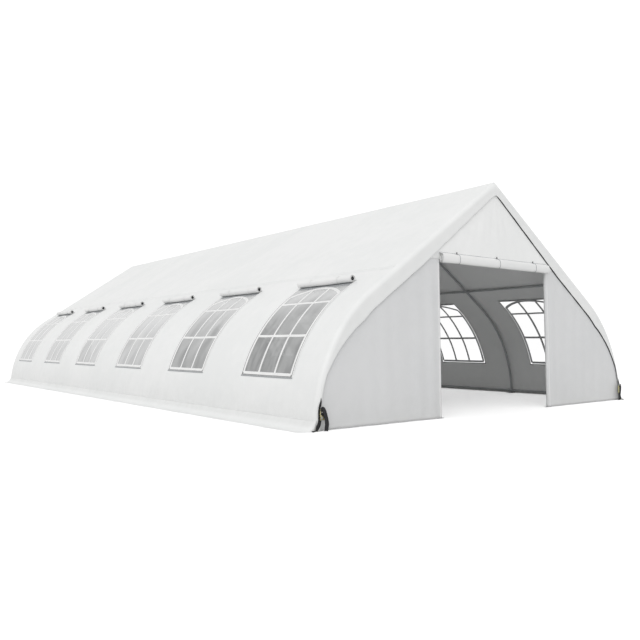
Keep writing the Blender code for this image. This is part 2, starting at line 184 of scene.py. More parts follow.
@dataclass
class Patchwork:
    """Grids of points gathered into one mesh, with a UV map in metres."""

    points: Rings = field(default_factory=list)
    quads: Rings = field(default_factory=list)
    flat: Rings = field(default_factory=list)

    def add_grid(
        self, points: Array, flat: Array, outward: Place | None = None, keep: Array | None = None
    ) -> None:
        """Adds one grid: the point in row i, column j joins its neighbours at i + 1 and j + 1.

        Args:
            points: Places, in an array of rows by columns by 3.
            flat: Their places on the flat fabric, rows by columns by 2.
            outward: A direction that the faces must look towards on the whole.
            keep: Which cells exist; all of them if it is left out.
        """
        rows, columns = points.shape[:2]
        index = np.arange(rows * columns).reshape(rows, columns)
        cells = np.stack([index[:-1, :-1], index[1:, :-1], index[1:, 1:], index[:-1, 1:]], axis=-1)
        cells = cells.reshape(-1, 4) if keep is None else cells[keep]
        places = points.reshape(-1, 3)
        if outward is not None:
            first = places[cells[:, 2]] - places[cells[:, 0]]
            second = places[cells[:, 3]] - places[cells[:, 1]]
            if np.sum(np.cross(first, second) @ np.asarray(outward)) < 0.0:
                cells = cells[:, ::-1]
        self.quads.append(cells + sum(map(len, self.points)))
        self.points.append(places)
        self.flat.append(flat.reshape(-1, 2))

    def add_bar(self, rings: Array) -> None:
        """Adds a closed bar: rings of points joined in order, with a cap over each end.

        A cap folds the ring in two and joins its first half to its second half, point by point.

        Args:
            rings: Places, in an array of rings by points by 3. The number of points is even.
        """
        closed = np.concatenate([rings, rings[:, :1]], axis=1)
        round_it = np.linalg.norm(np.diff(closed, axis=1), axis=-1).cumsum(axis=1)
        round_it = np.concatenate([np.zeros((len(rings), 1)), round_it], axis=1)
        middle = rings.mean(axis=1)
        along = np.concatenate([[0.0], np.linalg.norm(np.diff(middle, axis=0), axis=-1).cumsum()])
        flat = np.stack([round_it, np.broadcast_to(along[:, None], round_it.shape)], axis=-1)
        self.add_grid(closed, flat)
        half = rings.shape[1] // 2
        for ring, sheet in ((rings[0], flat[0]), (rings[-1], flat[-1])):
            cap = np.stack([ring[:half], ring[half:][::-1]])
            self.add_grid(cap, np.stack([sheet[:half], sheet[half:-1][::-1]]))

    def make(self, name: str, finish: "Finish", wall: float = 0.0, closed: bool = False) -> Piece:
        """Makes the mesh and its object, which rides on the frame.

        Args:
            name: The piece's name.
            finish: What it is made of.
            wall: Thickness that a Solidify modifier gives an open sheet, inwards.
            closed: True for solid bars, whose seams are merged and normals turned outwards.

        Returns:
            The finished object, at the origin.
        """
        cells = np.concatenate(self.quads)
        used, packed = np.unique(cells, return_inverse=True)
        mesh = bpy.data.meshes.new(name)
        places = np.concatenate(self.points)[used]
        mesh.from_pydata(places.tolist(), [], packed.reshape(cells.shape).tolist())
        layer = mesh.uv_layers.new(name=UV_NAME)
        layer.data.foreach_set("uv", np.concatenate(self.flat)[cells].astype(np.float32).ravel())
        if closed:
            work = bmesh.new()
            work.from_mesh(mesh)
            bmesh.ops.remove_doubles(work, verts=work.verts, dist=WELD)
            bmesh.ops.recalc_face_normals(work, faces=work.faces)
            work.to_mesh(mesh)
            work.free()
        mesh.shade_smooth()
        if closed:
            mesh.set_sharp_from_angle(angle=SHARP_ANGLE)
        mesh.materials.append(finish.material())
        made = bpy.data.objects.new(name, mesh)
        bpy.context.scene.collection.objects.link(made)
        if wall:
            shell = made.modifiers.new("thickness", "SOLIDIFY")
            shell.thickness = wall
            shell.offset = -1.0
        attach(made, "root")
        log.info("%s: %d faces", name, len(mesh.polygons))
        return made


def make_bars(name: str, finish: "Finish", bars: Iterable[Array]) -> Piece:
    """Makes one piece of closed bars.

    Args:
        name: The piece's name.
        finish: What it is made of.
        bars: The rings of each bar.

    Returns:
        The finished object.
    """
    work = Patchwork()
    for rings in bars:
        work.add_bar(rings)
    return work.make(name, finish, closed=True)


def make_sheet(
    name: str, finish: "Finish", points: Array, flat: Array, outward: Place, keep: Array | None = None
) -> Piece:
    """Makes one sheet of fabric from a grid, with its thickness on the inner side.

    Args:
        name: The piece's name.
        finish: What it is made of.
        points: Places, rows by columns by 3.
        flat: Their places on the flat fabric.
        outward: The direction of its outer face.
        keep: Which cells exist.

    Returns:
        The finished object.
    """
    work = Patchwork()
    work.add_grid(points, flat, outward, keep)
    return work.make(name, finish, SHEET_WALL)


def spread(value: Value, count: int) -> Array:
    """Makes one number, or one for each point, into an array of points by 1 by 1."""
    return np.broadcast_to(np.asarray(value, dtype=float), (count,))[:, None, None]


def band(path: Array, across: Array, half_width: Value, thick: float) -> Array:
    """Rings of a flat band: at each point of its path, the band's width across and its thickness upwards.

    Args:
        path: Places of the band's underside, points by 3.
        across: Unit vectors over the band's width, points by 3.
        half_width: Half the band's width, one number or one for each point.
        thick: Its thickness.

    Returns:
        Rings of six points each.
    """
    up = unit(np.cross(across, unit(np.gradient(path, axis=0))))
    aside = BAND_SIDES[None, :, None] * spread(half_width, len(path)) + BAND_DRAWN_IN[None, :, None]
    return path[:, None] + across[:, None] * aside + up[:, None] * (thick * BAND_HEIGHTS)[None, :, None]


def rod(path: Array, radius: Value, sides: int = ROD_SIDES) -> Array:
    """Rings of a round rod: at each point of its path, a circle square to the path.

    Args:
        path: Places along the rod's middle, points by 3.
        radius: Its radius, one number or one for each point.
        sides: Points in a ring, an even number.

    Returns:
        The rings.
    """
    ahead = unit(np.gradient(path, axis=0))
    aside = np.eye(3)[np.argmin(np.abs(unit(path[-1] - path[0])))]
    first = unit(np.cross(ahead, aside))
    second = np.cross(ahead, first)
    angle = np.linspace(0.0, FULL_TURN, sides, endpoint=False)[None, :, None]
    circle = np.cos(angle) * first[:, None] + np.sin(angle) * second[:, None]
    return path[:, None] + spread(radius, len(path)) * circle


def domed_rod(start: Array, end: Array, radius: float, sides: int = ROD_SIDES) -> Array:
    """Rings of a short rod with rounded ends: the radius follows a superellipse of the sixth power along it.

    Args:
        start: One end.
        end: The other end.
        radius: Its radius at the middle.
        sides: Points in a ring.

    Returns:
        The rings.
    """
    first_ring, power, rings = 0.02, 6, 11
    share = 0.5 - 0.5 * np.cos(np.linspace(first_ring, 1.0 - first_ring, rings) * np.pi)
    path = start + (end - start) * share[:, None]
    return rod(path, radius * (1.0 - np.abs(2.0 * share - 1.0) ** power) ** 0.5, sides)


def plate(centre: Array, first: Array, second: Array, halves: Pair, thick: float) -> Array:
    """Rings of a flat plate with rounded corners: a superellipse of the fifth power, bevelled at both faces.

    Args:
        centre: The plate's middle.
        first: Unit vector along the plate.
        second: Unit vector across it.
        halves: Half its length and half its width.
        thick: Its thickness, along the cross product of the two vectors.

    Returns:
        Four rings of 24 points.
    """
    corners, power, bevelled, shoulder = 24, 2.0 / 5.0, 0.94, 0.3
    angle = np.linspace(0.0, FULL_TURN, corners, endpoint=False) + np.pi / corners
    turn = np.stack([np.cos(angle), np.sin(angle)], axis=-1)
    outline = np.sign(turn) * np.abs(turn) ** power * np.array(halves) @ np.stack([first, second])
    heights = thick * np.array([-0.5, -shoulder, shoulder, 0.5])[:, None, None] * np.cross(first, second)
    scales = np.array([bevelled, 1.0, 1.0, bevelled])[:, None, None]
    return centre + heights + scales * outline


@dataclass(frozen=True)
class Roll:
    """A rolled sheet in section: a spiral whose half-axes grow evenly, then a straight flap to its landing.

    The spiral's sine and cosine are raised to the power of the bend: 1 is an ellipse, less is nearer a box.
    It leaves the roll at an angle in degrees, and has this many steps a turn.
    """

    inner: Pair
    outer: Pair
    turns: int
    leave: float
    steps: int
    sheet: float
    bend: float = 1.0
    flap_points: int = 5

    def turned(self, angle: Array) -> Array:
        """The bent sine and cosine of the angles, points by 2."""
        turn = np.stack([np.cos(angle), np.sin(angle)], axis=-1)
        return np.sign(turn) * np.abs(turn) ** self.bend

    def path(self, landing: Pair) -> Array:
        """The sheet's middle, from the inside outwards.

        Args:
            landing: Where its edge is fixed.

        Returns:
            Points by 2.
        """
        leave = math.radians(self.leave)
        angle = np.linspace(leave - FULL_TURN * self.turns, leave, self.turns * self.steps + 1)
        share = np.linspace(0.0, 1.0, len(angle))[:, None]
        inner, outer = np.array(self.inner), np.array(self.outer)
        spiral = (inner + (outer - inner) * share) * self.turned(angle)
        ahead = np.linspace(0.0, 1.0, self.flap_points + 1)[1:, None]
        return np.concatenate([spiral, spiral[-1] + (landing - spiral[-1]) * ahead])

    def ring(self, landing: Pair) -> Array:
        """Both faces of the sheet, as one closed ring.

        Args:
            landing: Where its edge is fixed.

        Returns:
            Twice as many points by 2.
        """
        path = self.path(landing)
        slope = unit(np.gradient(path, axis=0))
        normal = np.stack([-slope[:, 1], slope[:, 0]], axis=-1) * self.sheet / 2.0
        return np.concatenate([path + normal, (path - normal)[::-1]])


@dataclass
class Wiring:
    """Short ways to add nodes to a node tree and join them. An input is given a value or a socket."""

    tree: NodeTree
    spacing: float = 190.0

    def add(self, kind: str, inputs: dict | None = None, **settings: object) -> bpy.types.Node:
        """Adds a node, right of the last one.

        Args:
            kind: The node's type.
            inputs: For each input by name or number, a value, or a socket to join to it.
            settings: The node's own settings.

        Returns:
            The node.
        """
        made = self.tree.nodes.new(kind)
        made.location = (self.spacing * len(self.tree.nodes), 0.0)
        for key, value in settings.items():
            setattr(made, key, value)
        for key, value in (inputs or {}).items():
            self.put(made.inputs[key], value)
        return made

    def put(self, socket: Socket, value: object) -> None:
        """Joins a socket to an input, or sets the input's value.

        Args:
            socket: The input.
            value: A socket, a number, a vector, or a colour without its alpha.
        """
        if isinstance(value, Socket):
            self.tree.links.new(value, socket)
        else:
            socket.default_value = (*value, 1.0) if socket.type == "RGBA" else value

    def math(self, operation: str, *values: object) -> Socket:
        """The result of a Math node on up to three numbers or sockets."""
        return self.add("ShaderNodeMath", dict(enumerate(values)), operation=operation).outputs[0]

    def times(self, first: object, second: object) -> Socket:
        """The product of two numbers or sockets."""
        return self.math("MULTIPLY", first, second)

    def total(self, *terms: tuple[object, float]) -> Socket:
        """The sum of terms, each times its own factor.

        Args:
            terms: Pairs of a socket and its factor.

        Returns:
            The sum.
        """
        result = 0.0
        for value, factor in terms:
            result = self.math("MULTIPLY_ADD", value, factor, result)
        return result

    def blend(self, share: object, first: object, second: object) -> Socket:
        """The first colour turned into the second by a share from 0 to 1."""
        made = self.add("ShaderNodeMix", {0: share, MIX_FIRST: first, MIX_SECOND: second}, data_type="RGBA")
        return made.outputs[MIX_RESULT]

    def ease(
        self, value: object, low: float, high: float, to_low: float = 0.0, to_high: float = 1.0
    ) -> Socket:
        """A value eased from one range into another, and held at its ends."""
        numbers = {"Value": value, "From Min": low, "From Max": high, "To Min": to_low, "To Max": to_high}
        return self.add("ShaderNodeMapRange", numbers, interpolation_type="SMOOTHSTEP").outputs["Result"]

    def noise(self, place: object, scale: float, detail: float, rough: float = 0.5) -> Socket:
        """Noise around a half, at this many cells a metre."""
        numbers = {"Vector": place, "Scale": scale, "Detail": detail, "Roughness": rough}
        return self.add("ShaderNodeTexNoise", numbers).outputs["Fac"]

    def split(self, place: object) -> Sockets:
        """The three parts of a vector, as sockets X, Y and Z."""
        return self.add("ShaderNodeSeparateXYZ", {0: place}).outputs

    def stretch(self, place: object, scale: Triple) -> Socket:
        """A place with its three parts scaled."""
        return self.add("ShaderNodeMapping", {"Vector": place, "Scale": scale}).outputs[0]

    def group(self, tree: NodeTree, **inputs: object) -> Sockets:
        """Places a node group with its own values, and gives its outputs."""
        return self.add("ShaderNodeGroup", inputs, node_tree=tree).outputs


def start_group(name: str, **inputs: float | None) -> tuple[Wiring, Sockets]:
    """Starts a node group that several materials share.

    Args:
        name: The group's name.
        inputs: Each input with its first value, or None for a vector.

    Returns:
        Its wiring and its input sockets.
    """
    tree = bpy.data.node_groups.new(name, "ShaderNodeTree")
    for key, value in inputs.items():
        kind = "NodeSocketVector" if value is None else "NodeSocketFloat"
        socket = tree.interface.new_socket(name=key, in_out="INPUT", socket_type=kind)
        if value is not None:
            socket.default_value = value
    wiring = Wiring(tree)
    return wiring, wiring.add("NodeGroupInput").outputs


def end_group(wiring: Wiring, **results: Socket) -> NodeTree:
    """Gives a node group its outputs.

    Args:
        wiring: The group's wiring.
        results: What each output puts out.

    Returns:
        The group's tree.
    """
    for key in results:
        wiring.tree.interface.new_socket(name=key, in_out="OUTPUT", socket_type="NodeSocketFloat")
    wiring.add("NodeGroupOutput", results)
    return wiring.tree


@cache
def weave() -> NodeTree:
    """Plain weave: the height is the sine of one thread direction times the sine of the other.

    Returns:
        The group, made on the first call.
    """
    wiring, entry = start_group("weave", Place=None, Pitch=0.0012)
    parts = wiring.split(entry["Place"])
    turns = wiring.math("DIVIDE", math.pi, entry["Pitch"])
    warp = wiring.math("SINE", wiring.times(parts["X"], turns))
    weft = wiring.math("SINE", wiring.times(parts["Y"], turns))
    over = wiring.math("MULTIPLY_ADD", wiring.times(warp, weft), 0.5, 0.5)
    return end_group(wiring, Height=over, Thread=wiring.math("ABSOLUTE", warp))


@cache
def mottle() -> NodeTree:
    """Slow uneven tone: broad noise and a finer one added, eased to run from 0 to 1.

    Returns:
        The group, made on the first call.
    """
    wiring, entry = start_group("mottle", Place=None, Scale=1.0)
    inputs = {0: entry["Place"], "Scale": entry["Scale"]}
    place = wiring.add("ShaderNodeVectorMath", inputs, operation="SCALE").outputs[0]
    broad = wiring.noise(place, scale=1.0, detail=2.0)
    fine = wiring.noise(place, scale=7.0, detail=4.0, rough=0.6)
    broad_share, fine_share = 0.6, 0.4
    both = wiring.total((broad, broad_share), (fine, fine_share))
    return end_group(wiring, Tone=wiring.ease(both, low=0.36, high=0.64))


@cache
def creases() -> NodeTree:
    """Marks of folding: a narrow bump along lines a fold apart, strong in some places and lost in others.

    Returns:
        The group, made on the first call.
    """
    wiring, entry = start_group("creases", Place=None, Fold=0.7, Width=0.006, Wander=0.01)
    bend = wiring.noise(entry["Place"], scale=1.7, detail=2.0)
    shift = wiring.times(wiring.math("SUBTRACT", bend, 0.5), entry["Wander"])
    parts = wiring.split(entry["Place"])
    heights = []
    for axis, offset in (("X", 0.31), ("Y", 0.57)):
        moved = wiring.math("ADD", wiring.math("ADD", parts[axis], shift), offset)
        share = wiring.math("FRACT", wiring.math("DIVIDE", moved, entry["Fold"]))
        away = wiring.times(wiring.math("ABSOLUTE", wiring.math("SUBTRACT", share, 0.5)), entry["Fold"])
        near = wiring.math("SUBTRACT", 1.0, wiring.math("DIVIDE", away, entry["Width"]))
        heights.append(wiring.math("MAXIMUM", near, 0.0))
    strength = wiring.ease(wiring.noise(entry["Place"], scale=2.3, detail=1.0), low=0.42, high=0.66)
    return end_group(wiring, Height=wiring.times(wiring.math("ADD", *heights), strength))


@cache
def ground_dust() -> NodeTree:
    """Dust and painted shade near the ground: darker towards the foot, fading out at a height, broken up by
    noise.

    Returns:
        The group, made on the first call.
    """
    wiring, entry = start_group("ground_dust", Place=None, Reach=0.35)
    share = wiring.math("DIVIDE", wiring.split(entry["Place"])["Z"], entry["Reach"])
    low = wiring.math("POWER", wiring.math("MAXIMUM", wiring.math("SUBTRACT", 1.0, share), 0.0), 2.0)
    cloudy = wiring.noise(entry["Place"], scale=9.0, detail=5.0, rough=0.65)
    patchy = wiring.ease(cloudy, low=0.35, high=0.7, to_low=0.55, to_high=1.0)
    return end_group(wiring, Mask=wiring.times(low, patchy))


@dataclass
class Paint(Wiring):
    """A material being made: its shader, its Object coordinates and the piece's own map in metres."""

    shader: bpy.types.Node = field(init=False)
    place: Socket = field(init=False)
    flat: Socket = field(init=False)

    def __post_init__(self) -> None:
        """Finds the shader and adds both coordinates."""
        self.shader = self.tree.nodes["Principled BSDF"]
        self.place = self.add("ShaderNodeTexCoord").outputs["Object"]
        self.flat = self.add("ShaderNodeUVMap", uv_map=UV_NAME).outputs["UV"]

    def tone(self, scale: float) -> Socket:
        """A slow uneven tone over the surface."""
        return self.group(mottle(), Place=self.place, Scale=scale)["Tone"]

    def shade(self, **inputs: object) -> None:
        """Sets or joins the shader's inputs, their names written with underscores."""
        for key, value in inputs.items():
            self.put(self.shader.inputs[key.replace("_", " ")], value)

    def emboss(self, height: object) -> None:
        """Turns a height in metres into the shader's normal."""
        bump = self.add("ShaderNodeBump", {"Height": height, "Distance": 1.0, "Strength": 1.0})
        self.shade(Normal=bump.outputs["Normal"])


@dataclass(frozen=True)
class Finish:
    """A finish: its name, the record's slot it belongs to, colour and roughness."""

    name: str
    slot: str
    colour: Colour
    roughness: float
    metallic: float = 0.0

    def material(self) -> bpy.types.Material:
        """The finish's material, made once.

        Returns:
            The material.
        """
        if self.name in bpy.data.materials:
            return bpy.data.materials[self.name]
        made = bpy.data.materials.new(self.name)
        made.use_nodes = True
        paint = Paint(made.node_tree)
        paint.shade(Metallic=self.metallic, Roughness=self.roughness, Base_Color=self.colour)
        self.dress(paint)
        return made

    def dress(self, paint: Paint) -> None:
        """Adds the finish's pattern to the material being made."""
        raise NotImplementedError

    def roughen(self, paint: Paint, tone: object, by: float) -> None:
        """Lets the roughness follow a tone, by this much either way."""
        paint.shade(Roughness=paint.ease(tone, 0.0, 1.0, self.roughness - by, self.roughness + by))


@dataclass(frozen=True)
class CoatedSheet(Finish):
    """White coated cloth: weave showing through the coating, faint fold marks, crumple, and dust with painted
    shade at the foot.

    Below a given pair of heights the dust and painted shade fade out again, where the cloth lies on the
    ground.
    """

    shade: Colour = (0.79, 0.805, 0.80)
    shade_share: float = 0.45
    # Dust colour towards the foot, which also paints the shade low on the walls.
    dust: Colour = (0.64, 0.64, 0.63)
    dust_share: float = 0.50
    dust_reach: float = 0.72
    tone_scale: float = 0.8
    dust_and_shade_fades_below: Pair | None = None
    crumple: float = 0.0003
    soft_share: float = 3.0
    fine_share: float = 0.25
    fold: float = 0.74
    crease_height: float = 0.00035
    weave_pitch: float = 0.0013
    weave_height: float = 0.000022

    def dress(self, paint: Paint) -> None:
        """Adds tone, dust with painted shade at the foot, weave, creases and crumple.

        Args:
            paint: The material being made.
        """
        tone = paint.tone(self.tone_scale)
        cloth = paint.blend(paint.times(tone, self.shade_share), self.colour, self.shade)
        # Dust and painted shade: the cloth darkens towards the foot.
        dust_and_shade_mask = paint.group(ground_dust(), Place=paint.place, Reach=self.dust_reach)["Mask"]
        if self.dust_and_shade_fades_below:
            dust_and_shade_mask = paint.times(dust_and_shade_mask, paint.ease(paint.split(paint.place)["Z"], *self.dust_and_shade_fades_below))
        paint.shade(Base_Color=paint.blend(paint.times(dust_and_shade_mask, self.dust_share), cloth, self.dust))
        self.roughen(paint, tone, by=0.07)
        threads = paint.group(weave(), Place=paint.flat, Pitch=self.weave_pitch)["Height"]
        marks = paint.group(creases(), Place=paint.flat, Fold=self.fold)["Height"]
        soft = paint.noise(paint.place, scale=5.0, detail=3.0, rough=0.55)
        fine = paint.noise(paint.place, scale=38.0, detail=2.0)
        crumpled = ((soft, self.crumple * self.soft_share), (fine, self.crumple * self.fine_share))
        paint.emboss(paint.total((threads, self.weave_height), (marks, self.crease_height), *crumpled))


@dataclass(frozen=True)
class ClearFilm(Finish):
    """Flexible window film: grey and milky from the lit side, nearly clear from the shaded side.

    Its refractive index stands for the mirroring of both its faces, and a painted sheen whitens its colour at
    a slant, as it would mirror the white surround.
    Soft upright blotches show where it is slack.
    """

    veil: float = 0.92
    veil_inside: float = 0.14
    blotch: Colour = (0.17, 0.175, 0.175)
    blotch_scale: Triple = (4.4, 1.5, 1.0)
    slant_sheen: Colour = (0.72, 0.725, 0.725)
    slants: Pair = (0.48, 0.82)
    index: float = 2.1
    ripple: float = 0.004

    def dress(self, paint: Paint) -> None:
        """Adds blotches, slow ripples, the painted sheen at a slant and the veil by side.

        Args:
            paint: The material being made.
        """
        upright = paint.stretch(paint.flat, self.blotch_scale)
        tone = paint.ease(paint.noise(upright, scale=1.0, detail=2.5, rough=0.55), low=0.38, high=0.68)
        film = paint.blend(tone, self.colour, self.blotch)
        slant = paint.add("ShaderNodeLayerWeight", {"Blend": 0.5}).outputs["Facing"]
        # Painted sheen: the colour turns whiter at a slant, where the film mirrors the white surround.
        sheened = paint.blend(paint.ease(slant, *self.slants), film, self.slant_sheen)
        self.roughen(paint, tone, by=0.05)
        rise = paint.times(paint.math("POWER", slant, 2.0), 1.0 - self.veil)
        outside = paint.math("ADD", rise, self.veil)
        behind = paint.add("ShaderNodeNewGeometry").outputs["Backfacing"]
        change = paint.math("SUBTRACT", self.veil_inside, outside)
        veil = paint.math("MULTIPLY_ADD", behind, change, outside)
        paint.shade(IOR=self.index, Base_Color=sheened, Alpha=veil)
        paint.emboss(paint.times(paint.noise(upright, scale=1.6, detail=2.0, rough=0.45), self.ripple))


@dataclass(frozen=True)
class SmoothTape(Finish):
    """Welded plastic strip: slightly uneven, with a fine embossed grain."""

    grain: float = 0.00003
    grain_scale: float = 420.0
    tone_scale: float = 6.0
    tone_share: float = 0.5
    darkened: float = 0.9

    def dress(self, paint: Paint) -> None:
        """Adds tone and grain.

        Args:
            paint: The material being made.
        """
        tone = paint.tone(self.tone_scale)
        darker = tuple(self.darkened * part for part in self.colour)
        paint.shade(Base_Color=paint.blend(paint.times(tone, self.tone_share), self.colour, darker))
        self.roughen(paint, tone, by=0.08)
        paint.emboss(paint.times(paint.noise(paint.place, self.grain_scale, detail=2.0), self.grain))


@dataclass(frozen=True)
class RibbedTape(Finish):
    """Zip or hook tape: fine ribs across its length, and threads that catch the light."""

    pitch: float = 0.0025
    depth: float = 0.0003
    lightened: float = 1.6
    lifted: float = 0.01
    thread_highlight_share: float = 0.6

    def dress(self, paint: Paint) -> None:
        """Adds ribs and a painted highlight on the raised threads.

        Args:
            paint: The material being made.
        """
        woven = paint.group(weave(), Place=paint.flat, Pitch=self.pitch)
        # Painted highlight: the raised threads are made lighter where they would catch the light.
        thread_highlight = tuple(min(1.0, self.lightened * part + self.lifted) for part in self.colour)
        share = paint.times(woven["Height"], self.thread_highlight_share)
        paint.shade(Base_Color=paint.blend(share, self.colour, thread_highlight))
        self.roughen(paint, woven["Thread"], by=0.08)
        paint.emboss(paint.times(woven["Height"], self.depth))


@dataclass(frozen=True)
class TubeSteel(Finish):
    """Grey-white coated steel tube: orange-peel coating, scuffs down to duller metal."""

    scuff: Colour = (0.30, 0.31, 0.32)
    scuff_share: float = 0.6
    peel: float = 0.00008
    peel_scale: float = 260.0
    tone_scale: float = 4.0

    def dress(self, paint: Paint) -> None:
        """Adds scuffs, uneven gloss and the coating's fine bump.

        Args:
            paint: The material being made.
        """
        worn = paint.ease(paint.noise(paint.place, scale=26.0, detail=6.0, rough=0.7), low=0.60, high=0.74)
        paint.shade(Base_Color=paint.blend(paint.times(worn, self.scuff_share), self.colour, self.scuff))
        self.roughen(paint, paint.tone(self.tone_scale), by=0.12)
        paint.emboss(paint.times(paint.noise(paint.place, self.peel_scale, detail=2.0), self.peel))


@dataclass(frozen=True)
class PlatedSteel(Finish):
    """Yellow plated steel: colour drifting between straw and grey-green, fine rolling lines."""

    drift: Colour = (0.55, 0.56, 0.40)
    lines: Triple = (900.0, 900.0, 40.0)
    line_height: float = 0.00003
    tone_scale: float = 30.0

    def dress(self, paint: Paint) -> None:
        """Adds the plating's drift and lines.

        Args:
            paint: The material being made.
        """
        tone = paint.tone(self.tone_scale)
        paint.shade(Base_Color=paint.blend(tone, self.colour, self.drift))
        self.roughen(paint, tone, by=0.1)
        drawn = paint.noise(paint.stretch(paint.place, self.lines), scale=1.0, detail=2.0)
        paint.emboss(paint.times(drawn, self.line_height))


COVER_CLOTH = CoatedSheet("cover_cloth", FABRIC, (0.875, 0.88, 0.875), 0.50)
# Painted light: the gable's cloth is whiter than the cover's, standing in for the light that comes through
# it.
LIT_GABLE_CLOTH = CoatedSheet("gable_cloth_painted_light", FABRIC, (0.93, 0.935, 0.93), 0.50, shade=(0.86, 0.87, 0.865))
# The skirt's cloth: dust with painted shade on its upright part, fading out where it lies on the ground.
SKIRT_CLOTH = CoatedSheet("skirt_cloth", FABRIC, (0.875, 0.88, 0.875), 0.50, dust_and_shade_fades_below=(0.024, 0.070))
# Painted shade: the side panels' cloth is darker than the cover's, standing in for the shade on them.
SHADED_PANEL_CLOTH = CoatedSheet("panel_cloth_painted_shade", FABRIC, (0.74, 0.745, 0.75), 0.52, shade=(0.68, 0.69, 0.695))
ROLLED_CLOTH = CoatedSheet("rolled_cloth", FABRIC, (0.87, 0.87, 0.865), 0.46, crumple=0.0006, fold=0.33)
FILM = ClearFilm("window_film_clear", "window_film", (0.36, 0.365, 0.365), 0.16)
WHITE_TAPE = SmoothTape("white_tape", "window_bar", (0.90, 0.90, 0.895), 0.38)
# Painted shade: a grey copy of the white strips, for their shaded inner side.
SHADED_BACK_TAPE = SmoothTape("bar_back_painted_shade", "window_bar", (0.50, 0.505, 0.51), 0.45)
# Grey tape: the door ties' own colour, also used as painted shadow under the window rolls and along the
# sills.
GREY_TAPE_AND_SHADE = RibbedTape("grey_tape_and_shade", FABRIC, (0.30, 0.31, 0.32), 0.65)
# Black tape: the valance's closing strip and the roll spirals, also painting the shadow in the valance's gap
# and the shade in the roll hollows.
BLACK_TAPE_AND_SHADE = RibbedTape("black_tape_and_shade", "webbing", (0.022, 0.022, 0.024), 0.82, pitch=0.0016)
WEBBING = RibbedTape("black_webbing", "webbing", (0.014, 0.014, 0.016), 0.78, pitch=0.0034, depth=0.0006)
TOGGLE = SmoothTape("dark_toggle", "webbing", (0.05, 0.05, 0.055), 0.35)
TUBE_STEEL = TubeSteel("tube_steel", "frame_steel", (0.42, 0.43, 0.44), 0.42, 0.35)
PLATED = PlatedSteel("yellow_plated_steel", "ratchet_steel", (0.72, 0.63, 0.34), 0.34, 1.0)


@dataclass(frozen=True)
class Section:
    """The tent's cross-section: an arc from the ground up to its tangent with a straight rafter."""

    half_width: float
    peak: float
    side_radius: float = 1.82

    @property
    def arc_centre(self) -> float:
        """How far the arc's centre lies from the middle."""
        return self.half_width - self.side_radius

    @property
    def roof_angle(self) -> float:
        """The arc's angle at its tangent with the rafter, which is the rafter's lean from the upright."""
        reach = math.hypot(self.arc_centre, self.peak)
        return math.atan2(self.peak, -self.arc_centre) - math.acos(self.side_radius / reach)

    @property
    def arc_run(self) -> float:
        """The run at which the arc ends."""
        return self.side_radius * self.roof_angle

    def ridge_run(self, depth: Value = 0.0) -> Value:
        """The run at the middle of the tent, at this depth under the fabric."""
        foot = self.arc_centre + (self.side_radius - depth) * math.cos(self.roof_angle)
        return self.arc_run + foot / math.sin(self.roof_angle)

    def point(self, run: Array, lift: Array) -> tuple[Array, Array]:
        """The place on the right half: a turn round the arc's centre, then straight along the rafter.

        Args:
            run: Distance up along the outer fabric.
            lift: Distance above it, negative under it.

        Returns:
            The distance from the middle and the height.
        """
        angle = np.minimum(run, self.arc_run) / self.side_radius
        along = np.maximum(run - self.arc_run, 0.0)
        radius = self.side_radius + lift
        x = self.arc_centre + radius * np.cos(angle) - along * np.sin(angle)
        return x, radius * np.sin(angle) + along * np.cos(angle)

    def half_width_at(self, height: Array, depth: float) -> Array:
        """How far from the middle the section is at this height: the arc's chord, or the rafter's line.

        Args:
            height: Heights above the ground.
            depth: Depth under the fabric.

        Returns:
            Distances from the middle.
        """
        radius = self.side_radius - depth
        foot = radius * math.sin(self.roof_angle)
        on_arc = self.arc_centre + np.sqrt(np.maximum(radius**2 - height**2, 0.0))
        foot_x = self.arc_centre + radius * math.cos(self.roof_angle)
        on_rafter = foot_x - (height - foot) * math.tan(self.roof_angle)
        return np.where(height < foot, on_arc, on_rafter)


